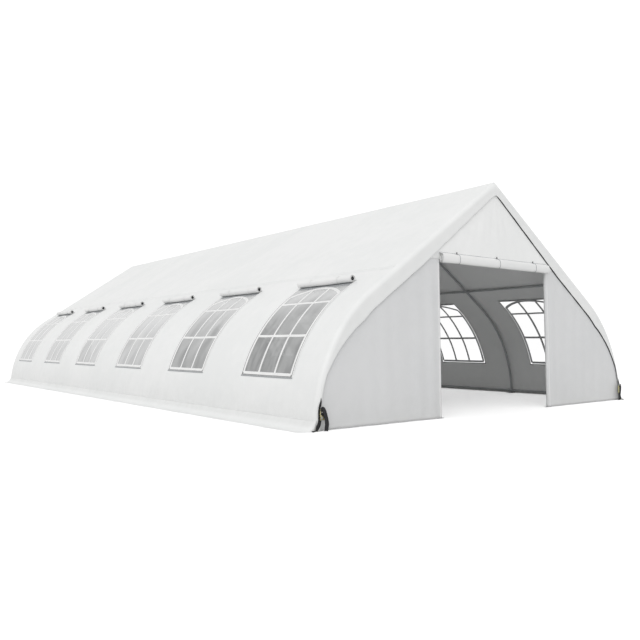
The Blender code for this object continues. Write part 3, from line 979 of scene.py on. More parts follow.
@dataclass(frozen=True)
class Cover:
    """The cover as it is stretched over the arches: sag between them, slow waves and a blunt ridge.

    The waves fade at the foot, at the ridge, over the arches and towards the ends.
    """

    section: Section
    end_y: float
    arch_y: tuple[float, ...]
    eave_run: float = 2.30
    sag: float = 0.012
    sag_power: float = 1.3
    purlin_share: float = 0.35
    waves: tuple[Wave, ...] = (
        Wave(0.0014, 1.27, lean=0.41, turn=1.3),
        Wave(0.0007, 0.61, lean=-0.32, phase=2.1, turn=0.6),
        Wave(0.0002, 0.29, lean=0.62, turn=0.4),
    )
    level_wave: Wave = Wave(0.0010, 0.83, phase=0.7, turn=1.1)
    level_bend: Wave = Wave(1.0, 2.9, turn=0.4)
    foot_fade: float = 0.12
    ridge_fade: float = 0.30
    arch_calm: float = 0.35
    end_fade: Pair = (0.02, 0.30)
    body_round: float = 0.012
    end_round: float = 0.045
    end_band: float = 0.024

    def relief(self, side: Array, run: Array, y: Array) -> Array:
        """How far the fabric stands off its plane: bays that sag by sines both ways, plus four slow waves.

        Args:
            side: -1 on the left, 1 on the right, 0 on the ridge.
            run: Distance up from the ground.
            y: Place along the ridge.

        Returns:
            Heights in metres, negative where it sags.
        """
        ridge = self.section.ridge_run()
        slack = np.sin(np.pi * (np.interp(y, self.arch_y, np.arange(len(self.arch_y))) % 1.0))
        up_wall = np.clip(run / self.eave_run, 0.0, 1.0)
        up_roof = np.clip((run - self.eave_run) / (ridge - self.eave_run), 0.0, 1.0)
        belly = np.where(run < self.eave_run, np.sin(np.pi * up_wall), np.sin(np.pi * up_roof))
        hollow = self.purlin_share * up_wall + (1.0 - self.purlin_share) * belly
        waves = sum(wave.swell(y, run, side) for wave in self.waves)
        waves = waves + self.level_wave.swell(run, by=self.level_bend.swell(y, by=side))
        calm = smooth_step(0.0, self.foot_fade, run) * smooth_step(0.0, self.ridge_fade, ridge - run)
        calm = calm * (self.arch_calm + (1.0 - self.arch_calm) * slack)
        calm = calm * smooth_step(*self.end_fade, self.end_y - np.abs(y))
        return waves * calm - self.sag * hollow * slack**self.sag_power

    def place(self, side: Value, run: Array, y: Array, lift: Value) -> Array:
        """A point on the cover: on the section at this run, raised by the lift and the fabric's relief.

        Near the ridge the height drops by the roof's slope times (the root of x squared plus the blunt radius
        squared, less x), which rounds the ridge.

        Args:
            side: -1 on the left, 1 on the right, 0 on the ridge.
            run: Distance up from the ground.
            y: Place along the ridge.
            lift: Distance above the fabric.

        Returns:
            The points, with the three parts in the last axis.
        """
        side, run, y, lift = np.broadcast_arrays(side, run, y, lift)
        x, z = self.section.point(run, lift + self.relief(side, run, y))
        blunt = smooth_step(self.end_y - self.end_band, self.end_y, np.abs(y))
        blunt = self.body_round + (self.end_round - self.body_round) * blunt
        slope = 1.0 / math.tan(self.section.roof_angle)
        drop = slope * (np.sqrt(x**2 + blunt**2) - np.abs(x))
        return np.stack([side * x, y, z - np.where(run > self.eave_run, drop, 0.0)], axis=-1)

    def grid(self, side: Side, run: Array, y: Array, lift: Lift = 0.0) -> tuple[Array, Array]:
        """A grid of points on one side of the cover, with a row for each place along the ridge.

        Args:
            side: Which side it is on.
            run: The columns' runs.
            y: The rows' places along the ridge.
            lift: Distance above the fabric, or a function of run and y that gives it.

        Returns:
            The points, and their places on the flat fabric.
        """
        ys, runs = np.meshgrid(y, run, indexing="ij")
        height = lift(runs, ys) if callable(lift) else lift
        return self.place(side.value, runs, ys, height), np.stack([ys, runs], axis=-1)

    def strip(self, side: Side, tape: Tape, run: Value, y: Value, base: Lift = ON_CLOTH) -> Array:
        """Rings of a flat tape that lies on the cover along a path, square to it in the fabric's plane.

        Args:
            side: Which side it is on.
            tape: The tape.
            run: The path's runs, or one for all.
            y: The path's places along the ridge, or one for all.
            base: The lift of its underside, or a function of run and y that gives it.

        Returns:
            Rings of six points each.
        """
        run, y = np.broadcast_arrays(run, y)
        climb, ahead = np.gradient(run), np.gradient(y)
        length = np.hypot(climb, ahead)
        shares = BAND_SIDES * tape.half + BAND_DRAWN_IN
        runs = run[:, None] - (ahead / length)[:, None] * shares
        ys = y[:, None] + (climb / length)[:, None] * shares
        under = base(runs, ys) if callable(base) else base
        return self.place(side.value, runs, ys, under + tape.thick * BAND_HEIGHTS)


@dataclass
class RoofAndWalls:
    """The roof sheet over the ridge, the two wall sheets with their window holes, and the welded seams."""

    cover: Cover
    reach: float = 6.045
    step: float = 0.05
    foot_run: float = 0.004
    lap: float = 0.03
    lap_lift: float = 0.0010
    lap_fade: float = 0.06
    roof_columns: int = 48
    crowding: float = 1.3
    seam: Tape = Tape(0.016, 0.0003)
    seam_run: float = 3.87
    seam_inset: float = 0.03

    def build_roof(self) -> None:
        """One sheet from eave to eave, with closer columns near the ridge, lapped over the walls."""
        ridge = self.cover.section.ridge_run()
        share = np.linspace(-1.0, 1.0, 2 * self.roof_columns + 1)
        girth = (ridge - self.cover.eave_run + self.lap) * np.abs(share) ** self.crowding
        run = ridge - girth
        y = lines_between(-self.reach, self.reach, self.step)
        lift = self.lap_lift * smooth_step(self.cover.eave_run + self.lap_fade, self.cover.eave_run, run)
        points = self.cover.place(np.sign(share), run, y[:, None], lift)
        flat = np.stack(np.broadcast_arrays(y[:, None], np.sign(share) * girth), axis=-1)
        piece = make_sheet("roof_sheet", COVER_CLOTH, points, flat, (0.0, 0.0, 1.0))
        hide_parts("roof_cover_left", "roof_cover_right")

    def build_wall(self, windows: "WindowRow") -> None:
        """One sheet from the ground to the eave, with grid lines on the windows' edges and holes in them.

        Args:
            windows: The row of windows in it.
        """
        side, half = windows.side, windows.width / 2.0
        edges = [middle + offset for middle in windows.centres for offset in (-half, half)]
        y = lines_between(-self.reach, self.reach, self.step, edges)
        run = lines_between(self.foot_run, self.cover.eave_run, self.step, (windows.low, windows.high))
        points, flat = self.cover.grid(side, run, y)
        cell_y = (y[:-1] + y[1:]) / 2.0
        cell_run = (run[:-1] + run[1:]) / 2.0
        beside = np.abs(cell_y[:, None] - np.array(windows.centres)).min(axis=1) > half
        keep = beside[:, None] | (cell_run < windows.low) | (cell_run > windows.high)
        piece = make_sheet(f"wall_sheet_{side.word}", COVER_CLOTH, points, flat, (side.value, 0.0, 0.5), keep)
        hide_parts(f"wall_cover_{side.word}")
        size = (self.cover.eave_run, 2.0 * self.reach)
        holes = len(windows.centres) * windows.width * (windows.high - windows.low)

    def build_seams(self) -> None:
        """Welded bands along the eave laps and along both slopes below the ridge."""
        y = lines_between(-self.reach + self.seam_inset, self.reach - self.seam_inset, 2.0 * self.step)
        lines = ((self.cover.eave_run - self.lap, self.lap_lift), (self.seam_run, ON_CLOTH))
        bars = [self.cover.strip(side, self.seam, run, y, lift) for side in Side for run, lift in lines]
        make_bars("weld_seams", COVER_CLOTH, bars)


@dataclass
class WindowRow:
    """One side's windows: film panes, white bars and arches, tapes, and the rolled covers above them."""

    cover: Cover
    side: Side
    width: float = 1.04
    low: float = 0.54
    high: float = 1.956
    shift: float = 0.04
    margin: float = 0.013
    rail_runs: Pair = (1.06, 1.60)
    spring_run: float = 1.765
    crown_gap: float = 0.002
    arch: Tape = Tape(0.020, 0.0021, 33)
    sill: Tape = Tape(0.0165, 0.0019)
    rail: Tape = Tape(0.0165, 0.0013)
    jamb: Tape = Tape(0.0165, 0.0017, 31)
    upright: Tape = Tape(0.0165, 0.0015, 31)
    backing_wider: float = 0.003
    backing_thick: float = 0.0008
    backing_depth: float = 0.0012
    hem: Tape = Tape(0.006, 0.0016, 31)
    hem_offset: float = 0.007
    # The grey tape under the sill, which also paints the shadow line there.
    sill_shadow_tape: Tape = Tape(0.0075, 0.0014)
    sill_shadow_tape_beyond: float = 0.014
    # Grey strips that paint the shadow under each roll.
    roll_shadow_tape: Tape = Tape(0.010, 0.0004)
    roll_shadow_cleat: Tape = Tape(0.022, 0.0012)
    roll_shadow_tape_short: float = 0.003
    tape_gap: float = 0.001
    film_depth: float = 0.0013
    film_sink: float = 0.0012
    film_fade: float = 0.07
    film_tuck: float = 0.018
    film_step: float = 0.045
    ripple: Wave = Wave(0.0022, 0.33, lean=0.45, turn=0.8)
    ripple_bend: Wave = Wave(1.0, 0.9, phase=0.3)
    roll: Roll = Roll((0.0240, 0.0240), (0.0436, 0.0436), 7, 150.0, 18, 0.0013)
    roll_run: float = 2.01
    roll_seat: float = 0.0447
    roll_length: float = 1.066
    roll_rings: int = 17
    roll_landing: Pair = (0.0016, 0.050)
    roll_flap: float = 0.03
    roll_slack: tuple[Wave, ...] = (Wave(0.035, 0.43, turn=1.7), Wave(0.02, 0.17, turn=0.9))
    creep: float = 0.003
    creep_turns: float = 9.0
    creep_power: int = 8
    core: Roll = Roll((0.003, 0.003), (0.0215, 0.0215), 6, 20.0, 12, 0.0030)
    core_short: float = 0.001
    core_landing: float = 0.93
    core_rings: int = 9
    tie: Tape = Tape(0.011, 0.0011, 33)
    tie_gap: float = 0.0012
    tie_turn: float = math.radians(140.0)
    tie_offset: float = 0.27

    @property
    def centres(self) -> list[float]:
        """The windows' middles along the ridge."""
        bay = 2.0 * self.cover.end_y / BAYS
        return [bay * (number + 0.5) - self.cover.end_y + self.shift for number in range(BAYS)]

    def film_lift(self, run: Array, y: Array) -> Array:
        """The film's height: just under the wall at its edges, a little deeper and rippled in its middle.

        Args:
            run: Distance up from the ground.
            y: Place along the ridge.

        Returns:
            Lifts in metres, all negative.
        """
        beside = self.width / 2 - np.abs(y[..., None] - np.array(self.centres)).min(axis=-1)
        inside = np.minimum(beside, np.minimum(run - self.low, self.high - run))
        sink = self.film_sink + self.ripple.hump(y, run, self.ripple_bend.swell(run))
        return -self.film_depth - smooth_step(0.0, self.film_fade, inside) * sink

    def backing_lift(self, run: Array, y: Array) -> Array:
        """The height of the strips' backing, just under the film."""
        return self.film_lift(run, y) - self.backing_depth

    def bar_lines(self, middle: float) -> list[tuple[Tape, Value, Value]]:
        """A window's welded strips: the arch, the sill, two rails, two jambs and two uprights.

        The arch is a circle over both jambs and the crown, and the jambs and uprights end on it.

        Args:
            middle: The window's middle along the ridge.

        Returns:
            Each strip's tape, its runs and its places along the ridge.
        """
        jamb = self.width / 2 - self.margin - self.jamb.half
        sill = self.low + self.margin + self.sill.half
        crown = self.high - self.arch.half - self.crown_gap
        rise = crown - self.spring_run
        radius = (jamb**2 + rise**2) / (2.0 * rise)
        turn = math.asin(jamb / radius) * np.linspace(-1.0, 1.0, self.arch.points)
        lines = [(self.arch, crown - radius * (1.0 - np.cos(turn)), middle + radius * np.sin(turn))]
        for tape, run in ((self.sill, sill), *((self.rail, run) for run in self.rail_runs)):
            lines.append((tape, run, np.linspace(middle - jamb, middle + jamb, tape.points)))
        for tape, share in ((self.jamb, -1), (self.upright, -1 / 3), (self.upright, 1 / 3), (self.jamb, 1)):
            offset = share * jamb
            top = crown - radius + math.sqrt(radius**2 - offset**2)
            lines.append((tape, np.linspace(sill, top, tape.points), middle + offset))
        return lines

    def bars(self, middle: float) -> Rings:
        """A window's white strips on its film, and the wall's hem down each side of it.

        Args:
            middle: The window's middle along the ridge.

        Returns:
            The rings of each strip.
        """
        rings = [self.cover.strip(self.side, *line, self.film_lift) for line in self.bar_lines(middle)]
        run = np.linspace(self.low, self.high, self.hem.points)
        edge = self.width / 2 + self.hem_offset
        return rings + [self.cover.strip(self.side, self.hem, run, middle + place) for place in (-edge, edge)]

    def shaded_bar_backs(self, middle: float) -> Rings:
        """A grey backing that paints the shaded inner side of the strips, on the film's inner side and a
        little wider than they are.

        Args:
            middle: The window's middle along the ridge.

        Returns:
            The rings of each strip.
        """
        rings = []
        for tape, run, y in self.bar_lines(middle):
            # The grey backing paints the strips' shaded inner side.
            backing = Tape(tape.half + self.backing_wider, self.backing_thick)
            rings.append(self.cover.strip(self.side, backing, run, y, self.backing_lift))
        return rings

    def level_tape(self, tape: Tape, run: float, middle: float, reach: float, base: Lift = ON_CLOTH) -> Array:
        """The rings of a level tape, as far each way from the window's middle as the reach."""
        along = np.linspace(middle - reach, middle + reach, tape.points)
        return self.cover.strip(self.side, tape, run, along, base)

    def sill_shadow_tapes(self, middle: float) -> Rings:
        """The grey fastener tape under a window, which also paints the shadow line under the sill, as long as
        it and its hems.
        """
        # The tape also paints the shadow line under the sill.
        run = self.low - self.sill_shadow_tape.half - self.tape_gap
        return [self.level_tape(self.sill_shadow_tape, run, middle, self.width / 2 + self.sill_shadow_tape_beyond)]

    def roll_shadow_tapes(self, middle: float) -> Rings:
        """The grey hook tapes along a window's head, which paint the shadow under the roll: one on the film
        behind the arch, one under the roll.

        Args:
            middle: The window's middle along the ridge.

        Returns:
            The rings of both.
        """
        reach = self.width / 2 - self.roll_shadow_tape_short
        below = self.high - self.roll_shadow_tape.half - self.tape_gap
        above = self.high + self.roll_shadow_cleat.half + self.tape_gap
        # Both strips paint the shadow under the roll.
        return [
            self.level_tape(self.roll_shadow_tape, below, middle, reach, self.film_lift),
            self.level_tape(self.roll_shadow_cleat, above, middle, reach),
        ]

    def rolled_cover(self, middle: float) -> Array:
        """A window's cover, rolled up: a spiral of real turns, slightly loose in places, sewn to the wall.

        Its turns creep along it near both ends, by a sine of the place in the spiral.

        Args:
            middle: The window's middle along the ridge.

        Returns:
            Its rings.
        """
        ring = self.roll.ring((self.roll_landing[0] - self.roll_seat, self.roll_landing[1]))
        share = np.linspace(-1.0, 1.0, self.roll_rings)[:, None]
        y = middle + share * self.roll_length / 2
        slack = math.prod(1.0 - wave.hump(y, by=middle) for wave in self.roll_slack)
        turn = np.linspace(0.0, 1.0, len(ring) // 2)
        turn = np.concatenate([turn, turn[::-1]])
        creep = self.creep * np.sin(self.creep_turns * turn + middle) * (1.0 - turn)
        y = y - np.sign(share) * np.abs(share) ** self.creep_power * creep
        run, lift = self.roll_run + ring[:, 1] * slack, self.roll_seat + ring[:, 0] * slack
        return self.cover.place(self.side.value, run, y, lift)

    def shade_cores(self, middle: float) -> Rings:
        """The black hook strip that starts each roll also paints the shade in its hollow: a tight spiral
        there, its ends in line with it.

        Args:
            middle: The window's middle along the ridge.

        Returns:
            Its rings.
        """
        # The black spiral paints the shade in the roll's hollow.
        ring = self.core.ring(tuple(self.core_landing * axis for axis in self.core.outer))
        reach = self.roll_length / 2 - self.core_short
        y = middle + np.linspace(-1.0, 1.0, self.core_rings)[:, None] * reach
        return [self.cover.place(self.side.value, self.roll_run + ring[:, 1], y, self.roll_seat + ring[:, 0])]

    def roll_ties(self, middle: float) -> Rings:
        """Two tapes round a roll, from the wall below it to the wall above.

        Args:
            middle: The window's middle along the ridge.

        Returns:
            The rings of both.
        """
        angle = np.linspace(-self.tie_turn, self.tie_turn, self.tie.points)[:, None]
        reach = self.roll.outer[0] + self.tie_gap + self.tie.thick * np.array([0.0, 0.0, 1.0, 1.0])
        run, lift = self.roll_run + reach * np.sin(angle), self.roll_seat + reach * np.cos(angle)
        across = self.tie.half * np.array([-1.0, 1.0, 1.0, -1.0])
        middles = (middle - self.tie_offset, middle + self.tie_offset)
        return [self.cover.place(self.side.value, run, place + across, lift) for place in middles]

    def build_panes(self) -> None:
        """The clear panes of the row, one grid a window, which reach in behind the wall's edges."""
        work = Patchwork()
        reach = self.width / 2 + self.film_tuck
        run = lines_between(self.low - self.film_tuck, self.high + self.film_tuck, self.film_step)
        for middle in self.centres:
            y = lines_between(middle - reach, middle + reach, self.film_step)
            work.add_grid(*self.cover.grid(self.side, run, y, self.film_lift), (self.side.value, 0.0, 0.5))
        piece = work.make(f"window_panes_{self.side.word}", FILM)
        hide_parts(f"window_film_{self.side.word}")

    def build_rolls(self) -> None:
        """The row of rolled covers, one piece."""
        rolls = map(self.rolled_cover, self.centres)
        piece = make_bars(f"window_covers_{self.side.word}", ROLLED_CLOTH, rolls)
        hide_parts(*(f"window_roll_{self.side.word}_{number + 1}" for number in range(BAYS)))


@dataclass
class GroundSkirt:
    """The flap along the foot of a wall, which curves out and lies on the ground."""

    cover: Cover
    side: Side
    height: float = 0.112
    spread: float = 0.2
    flat_width: float = 0.235
    reach: float = 6.090
    step: float = 0.05
    closer: tuple[float, ...] = (6.03, 6.045, 6.06, 6.07, 6.08)
    columns: int = 15
    wall_gap: float = 0.0022
    tuck: float = 0.0027
    tuck_share: float = 0.08
    ground_gap: float = 0.0011
    lying_share: float = 0.70
    fall_power: float = 2.1
    spread_power: float = 1.1
    corner_radius: float = 0.056
    narrows: Pair = (6.00, 6.092)
    edge_share: float = 0.35
    edge_waves: tuple[Wave, ...] = (Wave(0.5, 0.71, turn=0.5), Wave(0.5, 0.27, phase=1.9))
    edge_sway: float = 0.006
    edge_lift: float = 0.0035
    lifts: Wave = Wave(1.0, 1.13, phase=2.0, turn=1.0)
    lifts_level: float = 0.3
    belly: float = 0.002

    def build(self) -> None:
        """A strip whose height falls as a power of the share still to go, and whose free edge waves a little.

        Its ends follow the valance's round corner, and their width falls to a quarter ellipse.
        """
        closer = [sign * place for sign in (-1.0, 1.0) for place in self.closer]
        y = lines_between(-self.reach, self.reach, self.step, closer)[:, None]
        share = np.linspace(0.0, 1.0, self.columns)
        past = np.maximum(np.abs(y) - (self.cover.end_y - self.corner_radius), 0.0)
        recess = self.corner_radius - np.sqrt(self.corner_radius**2 - past**2)
        starts, ends = self.narrows
        width = np.sqrt(1.0 - np.clip((np.abs(y) - starts) / (ends - starts), 0.0, 1.0) ** 2)
        top = float(self.cover.section.half_width_at(np.array(self.height), 0.0)) + self.wall_gap
        fall = np.maximum(1.0 - share / self.lying_share, 0.0) ** self.fall_power
        edge = smooth_step(self.edge_share, 1.0, share)
        wave = sum(wave.swell(y, by=self.side.value) for wave in self.edge_waves)
        lifted = np.maximum(0.0, self.lifts_level + self.lifts.swell(y, by=self.side.value))
        spread = self.cover.section.half_width + self.spread - top - self.edge_sway
        x = top - recess + spread * width * share**self.spread_power + self.edge_sway * edge * wave
        x = x - self.tuck * smooth_step(self.tuck_share, 0.0, share)
        z = self.ground_gap + (self.height - self.ground_gap) * fall + self.edge_lift * edge * lifted
        z = z + self.belly * (wave + 1.0) * np.sin(np.pi * share)
        y_grid = np.broadcast_to(y, x.shape)
        points = np.stack([self.side.value * x, y_grid, z], axis=-1)
        flat = np.stack([y_grid, x - top], axis=-1)
        name = f"skirt_sheet_{self.side.word}"
        piece = make_sheet(name, SKIRT_CLOTH, points, flat, (self.side.value, 0.0, 1.0))
        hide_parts(f"ground_skirt_{self.side.word}")


@dataclass
class Valance:
    """The band over the cover's end: a lap, a quarter circle round the edge, the face and a rolled hem."""

    cover: Cover
    end: End
    rows: int = 241
    run_depth: float = 0.15
    corner_radius: float = 0.056
    edge_gap: float = 0.0005
    points: tuple[int, int, int, int] = (4, 8, 9, 6)
    lap_from: float = 0.060
    lap_to: float = 0.005
    lap_sunk: float = 0.0004
    lift: float = 0.0007
    hem_radius: float = 0.0022
    hem_turn: float = math.radians(200.0)
    least: Pair = (0.6, 0.002)
    widths: tuple[float, ...] = (0.035, 0.20, 0.20, 0.134)
    width_runs: tuple[float, ...] = (0.45, 1.45, 2.70)
    puckers: tuple[Wave, ...] = (Wave(0.0028, 0.37, turn=1.1), Wave(0.0012, 0.16, phase=2.0))
    pucker_depths: Pair = (0.03, 0.12)
    # The black closing strip, which also paints the shadow in the gap under the valance's edge.
    closure_foot: float = 0.33
    closure_hidden: float = 0.030
    closure_shown: Pair = (0.003, 0.0075)
    closure_lifts: tuple[float, ...] = (0.0010, 0.0010, 0.0024, 0.0024)

    def width(self, run: Array) -> Array:
        """How far it reaches in: widening up to the knee, even to the shoulder, less at the ridge."""
        ridge = float(self.cover.section.ridge_run(self.widths[-1]))
        return np.interp(run, (*self.width_runs, ridge), self.widths)

    def profile(self, width: Array) -> tuple[Array, Array]:
        """The band's section, from the lap to the hem's end.

        Args:
            width: How far it reaches in, a column.

        Returns:
            The places along the ridge, the same for each row, and the depths under the fabric.
        """
        edge_y = self.cover.end_y - self.edge_gap
        lap_points, turn_points, face_points, hem_points = self.points
        turn = np.linspace(0.0, np.pi / 2, turn_points)
        face = np.linspace(0.0, 1.0, face_points)[1:]
        hem = np.linspace(0.0, self.hem_turn, hem_points)[1:]
        start = self.corner_radius - self.lift
        lapped = self.corner_radius + np.linspace(self.lap_from, self.lap_to, lap_points)
        rounded = self.corner_radius * (1.0 - np.sin(turn))
        back = np.concatenate([lapped, rounded, 0.0 * face, self.hem_radius * (1.0 - np.cos(hem))])
        reach = np.maximum(width - self.hem_radius, start * self.least[0] + self.least[1])
        lap = -np.linspace(-self.lap_sunk, self.lift, lap_points)
        outer = np.concatenate([lap, start - self.corner_radius * np.cos(turn)]) * np.ones_like(width)
        depth = [outer, start + (reach - start) * face, reach + self.hem_radius * np.sin(hem)]
        return edge_y - back, np.concatenate(depth, axis=1)

    def build(self) -> None:
        """Makes the band, with soft puckers in its face."""
        section = self.cover.section
        along = np.linspace(-1.0, 1.0, self.rows)[:, None]
        side, climb = np.sign(along), 1.0 - np.abs(along)
        out, depth = self.profile(self.width(climb * float(section.ridge_run(self.run_depth))))
        run = climb * section.ridge_run(depth)
        pucker = sum(wave.hump(run, by=side) for wave in self.puckers)
        out = out - pucker * smooth_step(*self.pucker_depths, depth)
        points = self.cover.place(side, run, self.end.value * out, -depth)
        flat = np.stack([side * (section.ridge_run() - run), depth + out], axis=-1)
        name = f"valance_sheet_{self.end.word}"
        piece = make_sheet(name, COVER_CLOTH, points, flat, (0.0, self.end.value, 0.0))
        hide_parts(f"{self.end.word}_valance")
        length = 2.0 * float(section.ridge_run())

    def closure(self) -> tuple[Array, Array, Array]:
        """The black closing strip along the valance's inner edge, on the panels' face, from strap to strap;
        it also paints the shadow in the gap under the valance's edge.

        Returns:
            The distances from the middle, the heights above the panels' face and the heights from the ground.
        """
        section = self.cover.section
        ridge = float(section.ridge_run(self.run_depth))
        along = np.linspace(-1.0, 1.0, self.rows)[:, None] * (1.0 - self.closure_foot / ridge)
        climb = 1.0 - np.abs(along)
        width = self.width(climb * ridge)
        hidden = -self.closure_hidden * width / max(self.widths)
        shown = np.interp(climb * ridge, self.width_runs[:2], self.closure_shown)
        depth = width + np.concatenate([hidden, shown, shown, hidden], axis=1)
        x, z = section.point(climb * section.ridge_run(depth), -depth)
        return np.sign(along) * x, np.array(self.closure_lifts), z


@dataclass
class TentEnd:
    """One end: its valance, the gable and side panels, the rolled door and its trim."""

    valance: Valance
    door_half: float = 1.10
    door_head: float = 1.94
    post_inset: float = 0.025
    panel_y: float = 6.078
    gable_y: float = 6.0795
    panel_depth: float = 0.014
    gable_lap: float = 0.015
    gable_below: float = 0.05
    gable_step: float = 0.03
    gable_columns: int = 91
    gable_calm: Pair = (0.17, 0.40)
    gable_calm_low: Pair = (1.99, 2.12)
    gable_waves: tuple[Wave, ...] = (Wave(0.0045, 0.27, phase=0.6), Wave(0.003, 0.118, lean=0.05, phase=1.4))
    fan_height: float = 3.6
    panel_foot: float = 0.003
    panel_lap: float = 0.008
    panel_step: float = 0.035
    panel_columns: int = 65
    panel_calm: Pair = (0.20, 0.60)
    panel_calm_top: Pair = (1.86, 1.55)
    panel_calm_post: float = 0.14
    panel_lean: float = 0.16
    panel_phase: float = 0.9
    folds: Wave = Wave(0.0165, 0.29, phase=-math.pi / 2.0, turn=1.0)
    fold_bend: Wave = Wave(0.5, FULL_TURN / 2.2)
    fold_fade: float = 0.55
    fold_least: float = 0.25
    slow_wave: Wave = Wave(1.0, 0.83, lean=0.1, turn=1.0)
    slow_least: float = 0.4
    slow_height: float = 0.003
    foot_lift: Wave = Wave(0.004, 0.47, phase=1.0)
    foot_band: float = 0.06
    sleeve_turn: Pair = (math.radians(-100.0), math.radians(80.0))
    sleeve_columns: int = 10
    roll: Roll = Roll((0.005, 0.022), (0.0338, 0.059), 10, 100.0, 20, 0.0011, 0.78)
    roll_half: float = 1.115
    roll_gap: float = 0.0012
    roll_off: float = 0.0004
    roll_landing: Pair = (0.0016, 0.014)
    roll_step: float = 0.06
    roll_lines: tuple[float, ...] = (-0.04, -0.018, 0.0, 0.018, 0.04)
    tie_places: Place = (-0.8, 0.0, 0.8)
    tie_squeeze: float = 0.07
    tie_reach: float = 0.030
    tie_radius: float = 0.0028
    tie_gap: float = 0.0022
    tie_turn: Pair = (math.radians(-88.0), math.radians(84.0))
    knot_off: float = 0.0032
    knot_rise: float = 0.012
    roll_thins: Wave = Wave(0.012, 0.43, phase=0.4)
    roll_wrinkles: Wave = Wave(0.008, 0.16, turn=3.0)
    roll_sag: float = 0.0015
    roll_sag_end: float = 1.5
    edge_tape: Tape = Tape(0.005, 0.0016, 41)
    edge_off: float = 0.0008
    toggle_rise: Pair = (0.010, 0.036)
    toggle_off: float = 0.0085
    toggle_radius: float = 0.0060
    eyelet_below: float = 0.016
    eyelet_off: float = 0.007
    eyelet_radius: float = 0.013
    zip_tape: Tape = Tape(0.007, 0.0014, 41)
    zip_offset: float = 0.014
    zip_off: float = 0.0006
    zip_foot: float = 0.012
    zip_below: float = 0.065

    @property
    def cover(self) -> Cover:
        """The cover that it closes."""
        return self.valance.cover

    @property
    def end(self) -> End:
        """Which end it is."""
        return self.valance.end

    @property
    def sign(self) -> int:
        """-1 at the front and 1 at the back."""
        return self.end.value

    @property
    def post(self) -> float:
        """How far a door post's middle is from the tent's."""
        return self.door_half + self.post_inset

    def on_face(self, x: Value, out: Value, z: Value) -> Array:
        """Points of this end, from their distance outwards along Y."""
        return np.stack(np.broadcast_arrays(x, self.sign * out, z), axis=-1)

    def build_gable(self) -> None:
        """The gable panel: rows between the rafters, with soft upright waves that fade under the valance."""
        section = self.cover.section
        low = self.door_head - self.gable_lap
        top = section.peak - self.gable_below
        z = lines_between(low, top, self.gable_step)[:, None]
        half = section.half_width_at(z, self.panel_depth)
        x = half * np.linspace(-1.0, 1.0, self.gable_columns)
        inside = (section.half_width_at(z, 0.0) - np.abs(x)) * math.cos(section.roof_angle)
        calm = smooth_step(*self.gable_calm, inside) * smooth_step(*self.gable_calm_low, z)
        fan = np.arctan2(x, self.fan_height - z)
        out = self.gable_y + sum(wave.hump(fan, z) for wave in self.gable_waves) * calm
        flat = np.stack(np.broadcast_arrays(x, z), axis=-1)
        name = f"gable_sheet_{self.end.word}"
        # The gable gets the whiter cloth, which paints light on it.
        piece = make_sheet(name, LIT_GABLE_CLOTH, self.on_face(x, out, z), flat, (0.0, self.sign, 0.0))
        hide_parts(f"{self.end.word}_gable_panel")
        arch = "arch_1" if self.end is End.FRONT else "arch_7"

    def fold_heights(self, side: Side, x: Array, z: Array, edge: Array) -> Array:
        """How far a side panel's soft folds stand off its plane: deepest at the jamb, calm at its edges.

        Args:
            side: Which side of the doorway it is on.
            x: Distances from the middle.
            z: Heights, a column.
            edge: The panel's outer edge, a column.

        Returns:
            Heights in metres.
        """
        calm = smooth_step(*self.panel_calm, edge + self.panel_depth - x)
        calm = calm * smooth_step(*self.panel_calm_top, z)
        calm = calm * smooth_step(0.0, self.panel_calm_post, x - self.post)
        from_jamb = x - self.door_half
        lean = self.leaning(x, z)
        phase = self.panel_phase * side.value
        slow = self.slow_wave.hump(lean, z, phase)
        fade = self.fold_least + (1.0 - self.fold_least) * np.exp(-from_jamb / self.fold_fade)
        evenness = self.slow_least + (1.0 - self.slow_least) * slow
        folds = self.folds.hump(lean, by=phase + self.fold_bend.swell(z))
        return calm * (folds * fade * evenness + self.slow_height * slow)

    def leaning(self, x: Array, z: Array) -> Array:
        """The distance from the jamb, stretched towards the ground so that the folds fan out."""
        return (x - self.door_half) * (1.0 + self.panel_lean * (1.0 - z / self.door_head))

    def build_side_panel(self, side: Side) -> None:
        """A panel beside the doorway: a sleeve round the post, then soft folds that fade at its edges.

        The sleeve is an arc of a circle round the post, which ends where its tangent is the panel's plane.

        Args:
            side: Which side of the doorway it is on.
        """
        z = lines_between(self.panel_foot, self.door_head + self.panel_lap, self.panel_step)[:, None]
        outer = self.cover.section.half_width_at(z, self.panel_depth)
        x = self.post + (outer - self.post) * np.linspace(0.0, 1.0, self.panel_columns)
        out = self.panel_y + self.fold_heights(side, x, z, outer)
        lifted = self.foot_lift.hump(self.leaning(x, z)) * smooth_step(self.foot_band, 0.0, z)
        turn = np.linspace(*self.sleeve_turn, self.sleeve_columns) * np.ones_like(outer)
        post_y = abs(self.cover.arch_y[0])
        sleeve = self.panel_y - post_y
        x_all = np.concatenate([self.post - sleeve * np.cos(turn), x], axis=1)
        out = np.concatenate([post_y + sleeve * np.sin(turn), out], axis=1)
        height = np.concatenate([z * np.ones_like(turn), z + lifted], axis=1)
        flat_x = np.concatenate([self.post + sleeve * (turn - np.pi / 2.0), x], axis=1)
        flat = np.stack(np.broadcast_arrays(flat_x, z), axis=-1)
        name = f"{self.end.word}_panel_sheet_{side.word}"
        points = self.on_face(side.value * x_all, out, height)
        # The side panel gets the darker cloth, which paints shade on it.
        piece = make_sheet(name, SHADED_PANEL_CLOTH, points, flat, (0.0, self.sign, 0.0))
        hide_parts(f"{self.end.word}_panel_{side.word}")
        z = z[:, 0]
        frame_name = f"{self.end.word}_door_frame"

    def roll_squeeze(self, x: Array) -> Array:
        """How much the ties narrow the rolled door: one small dip at each tie."""
        dips = sum(np.exp(-(((x - place) / self.tie_reach) ** 2)) for place in self.tie_places)
        return 1.0 - self.tie_squeeze * dips - self.roll_thins.hump(x)

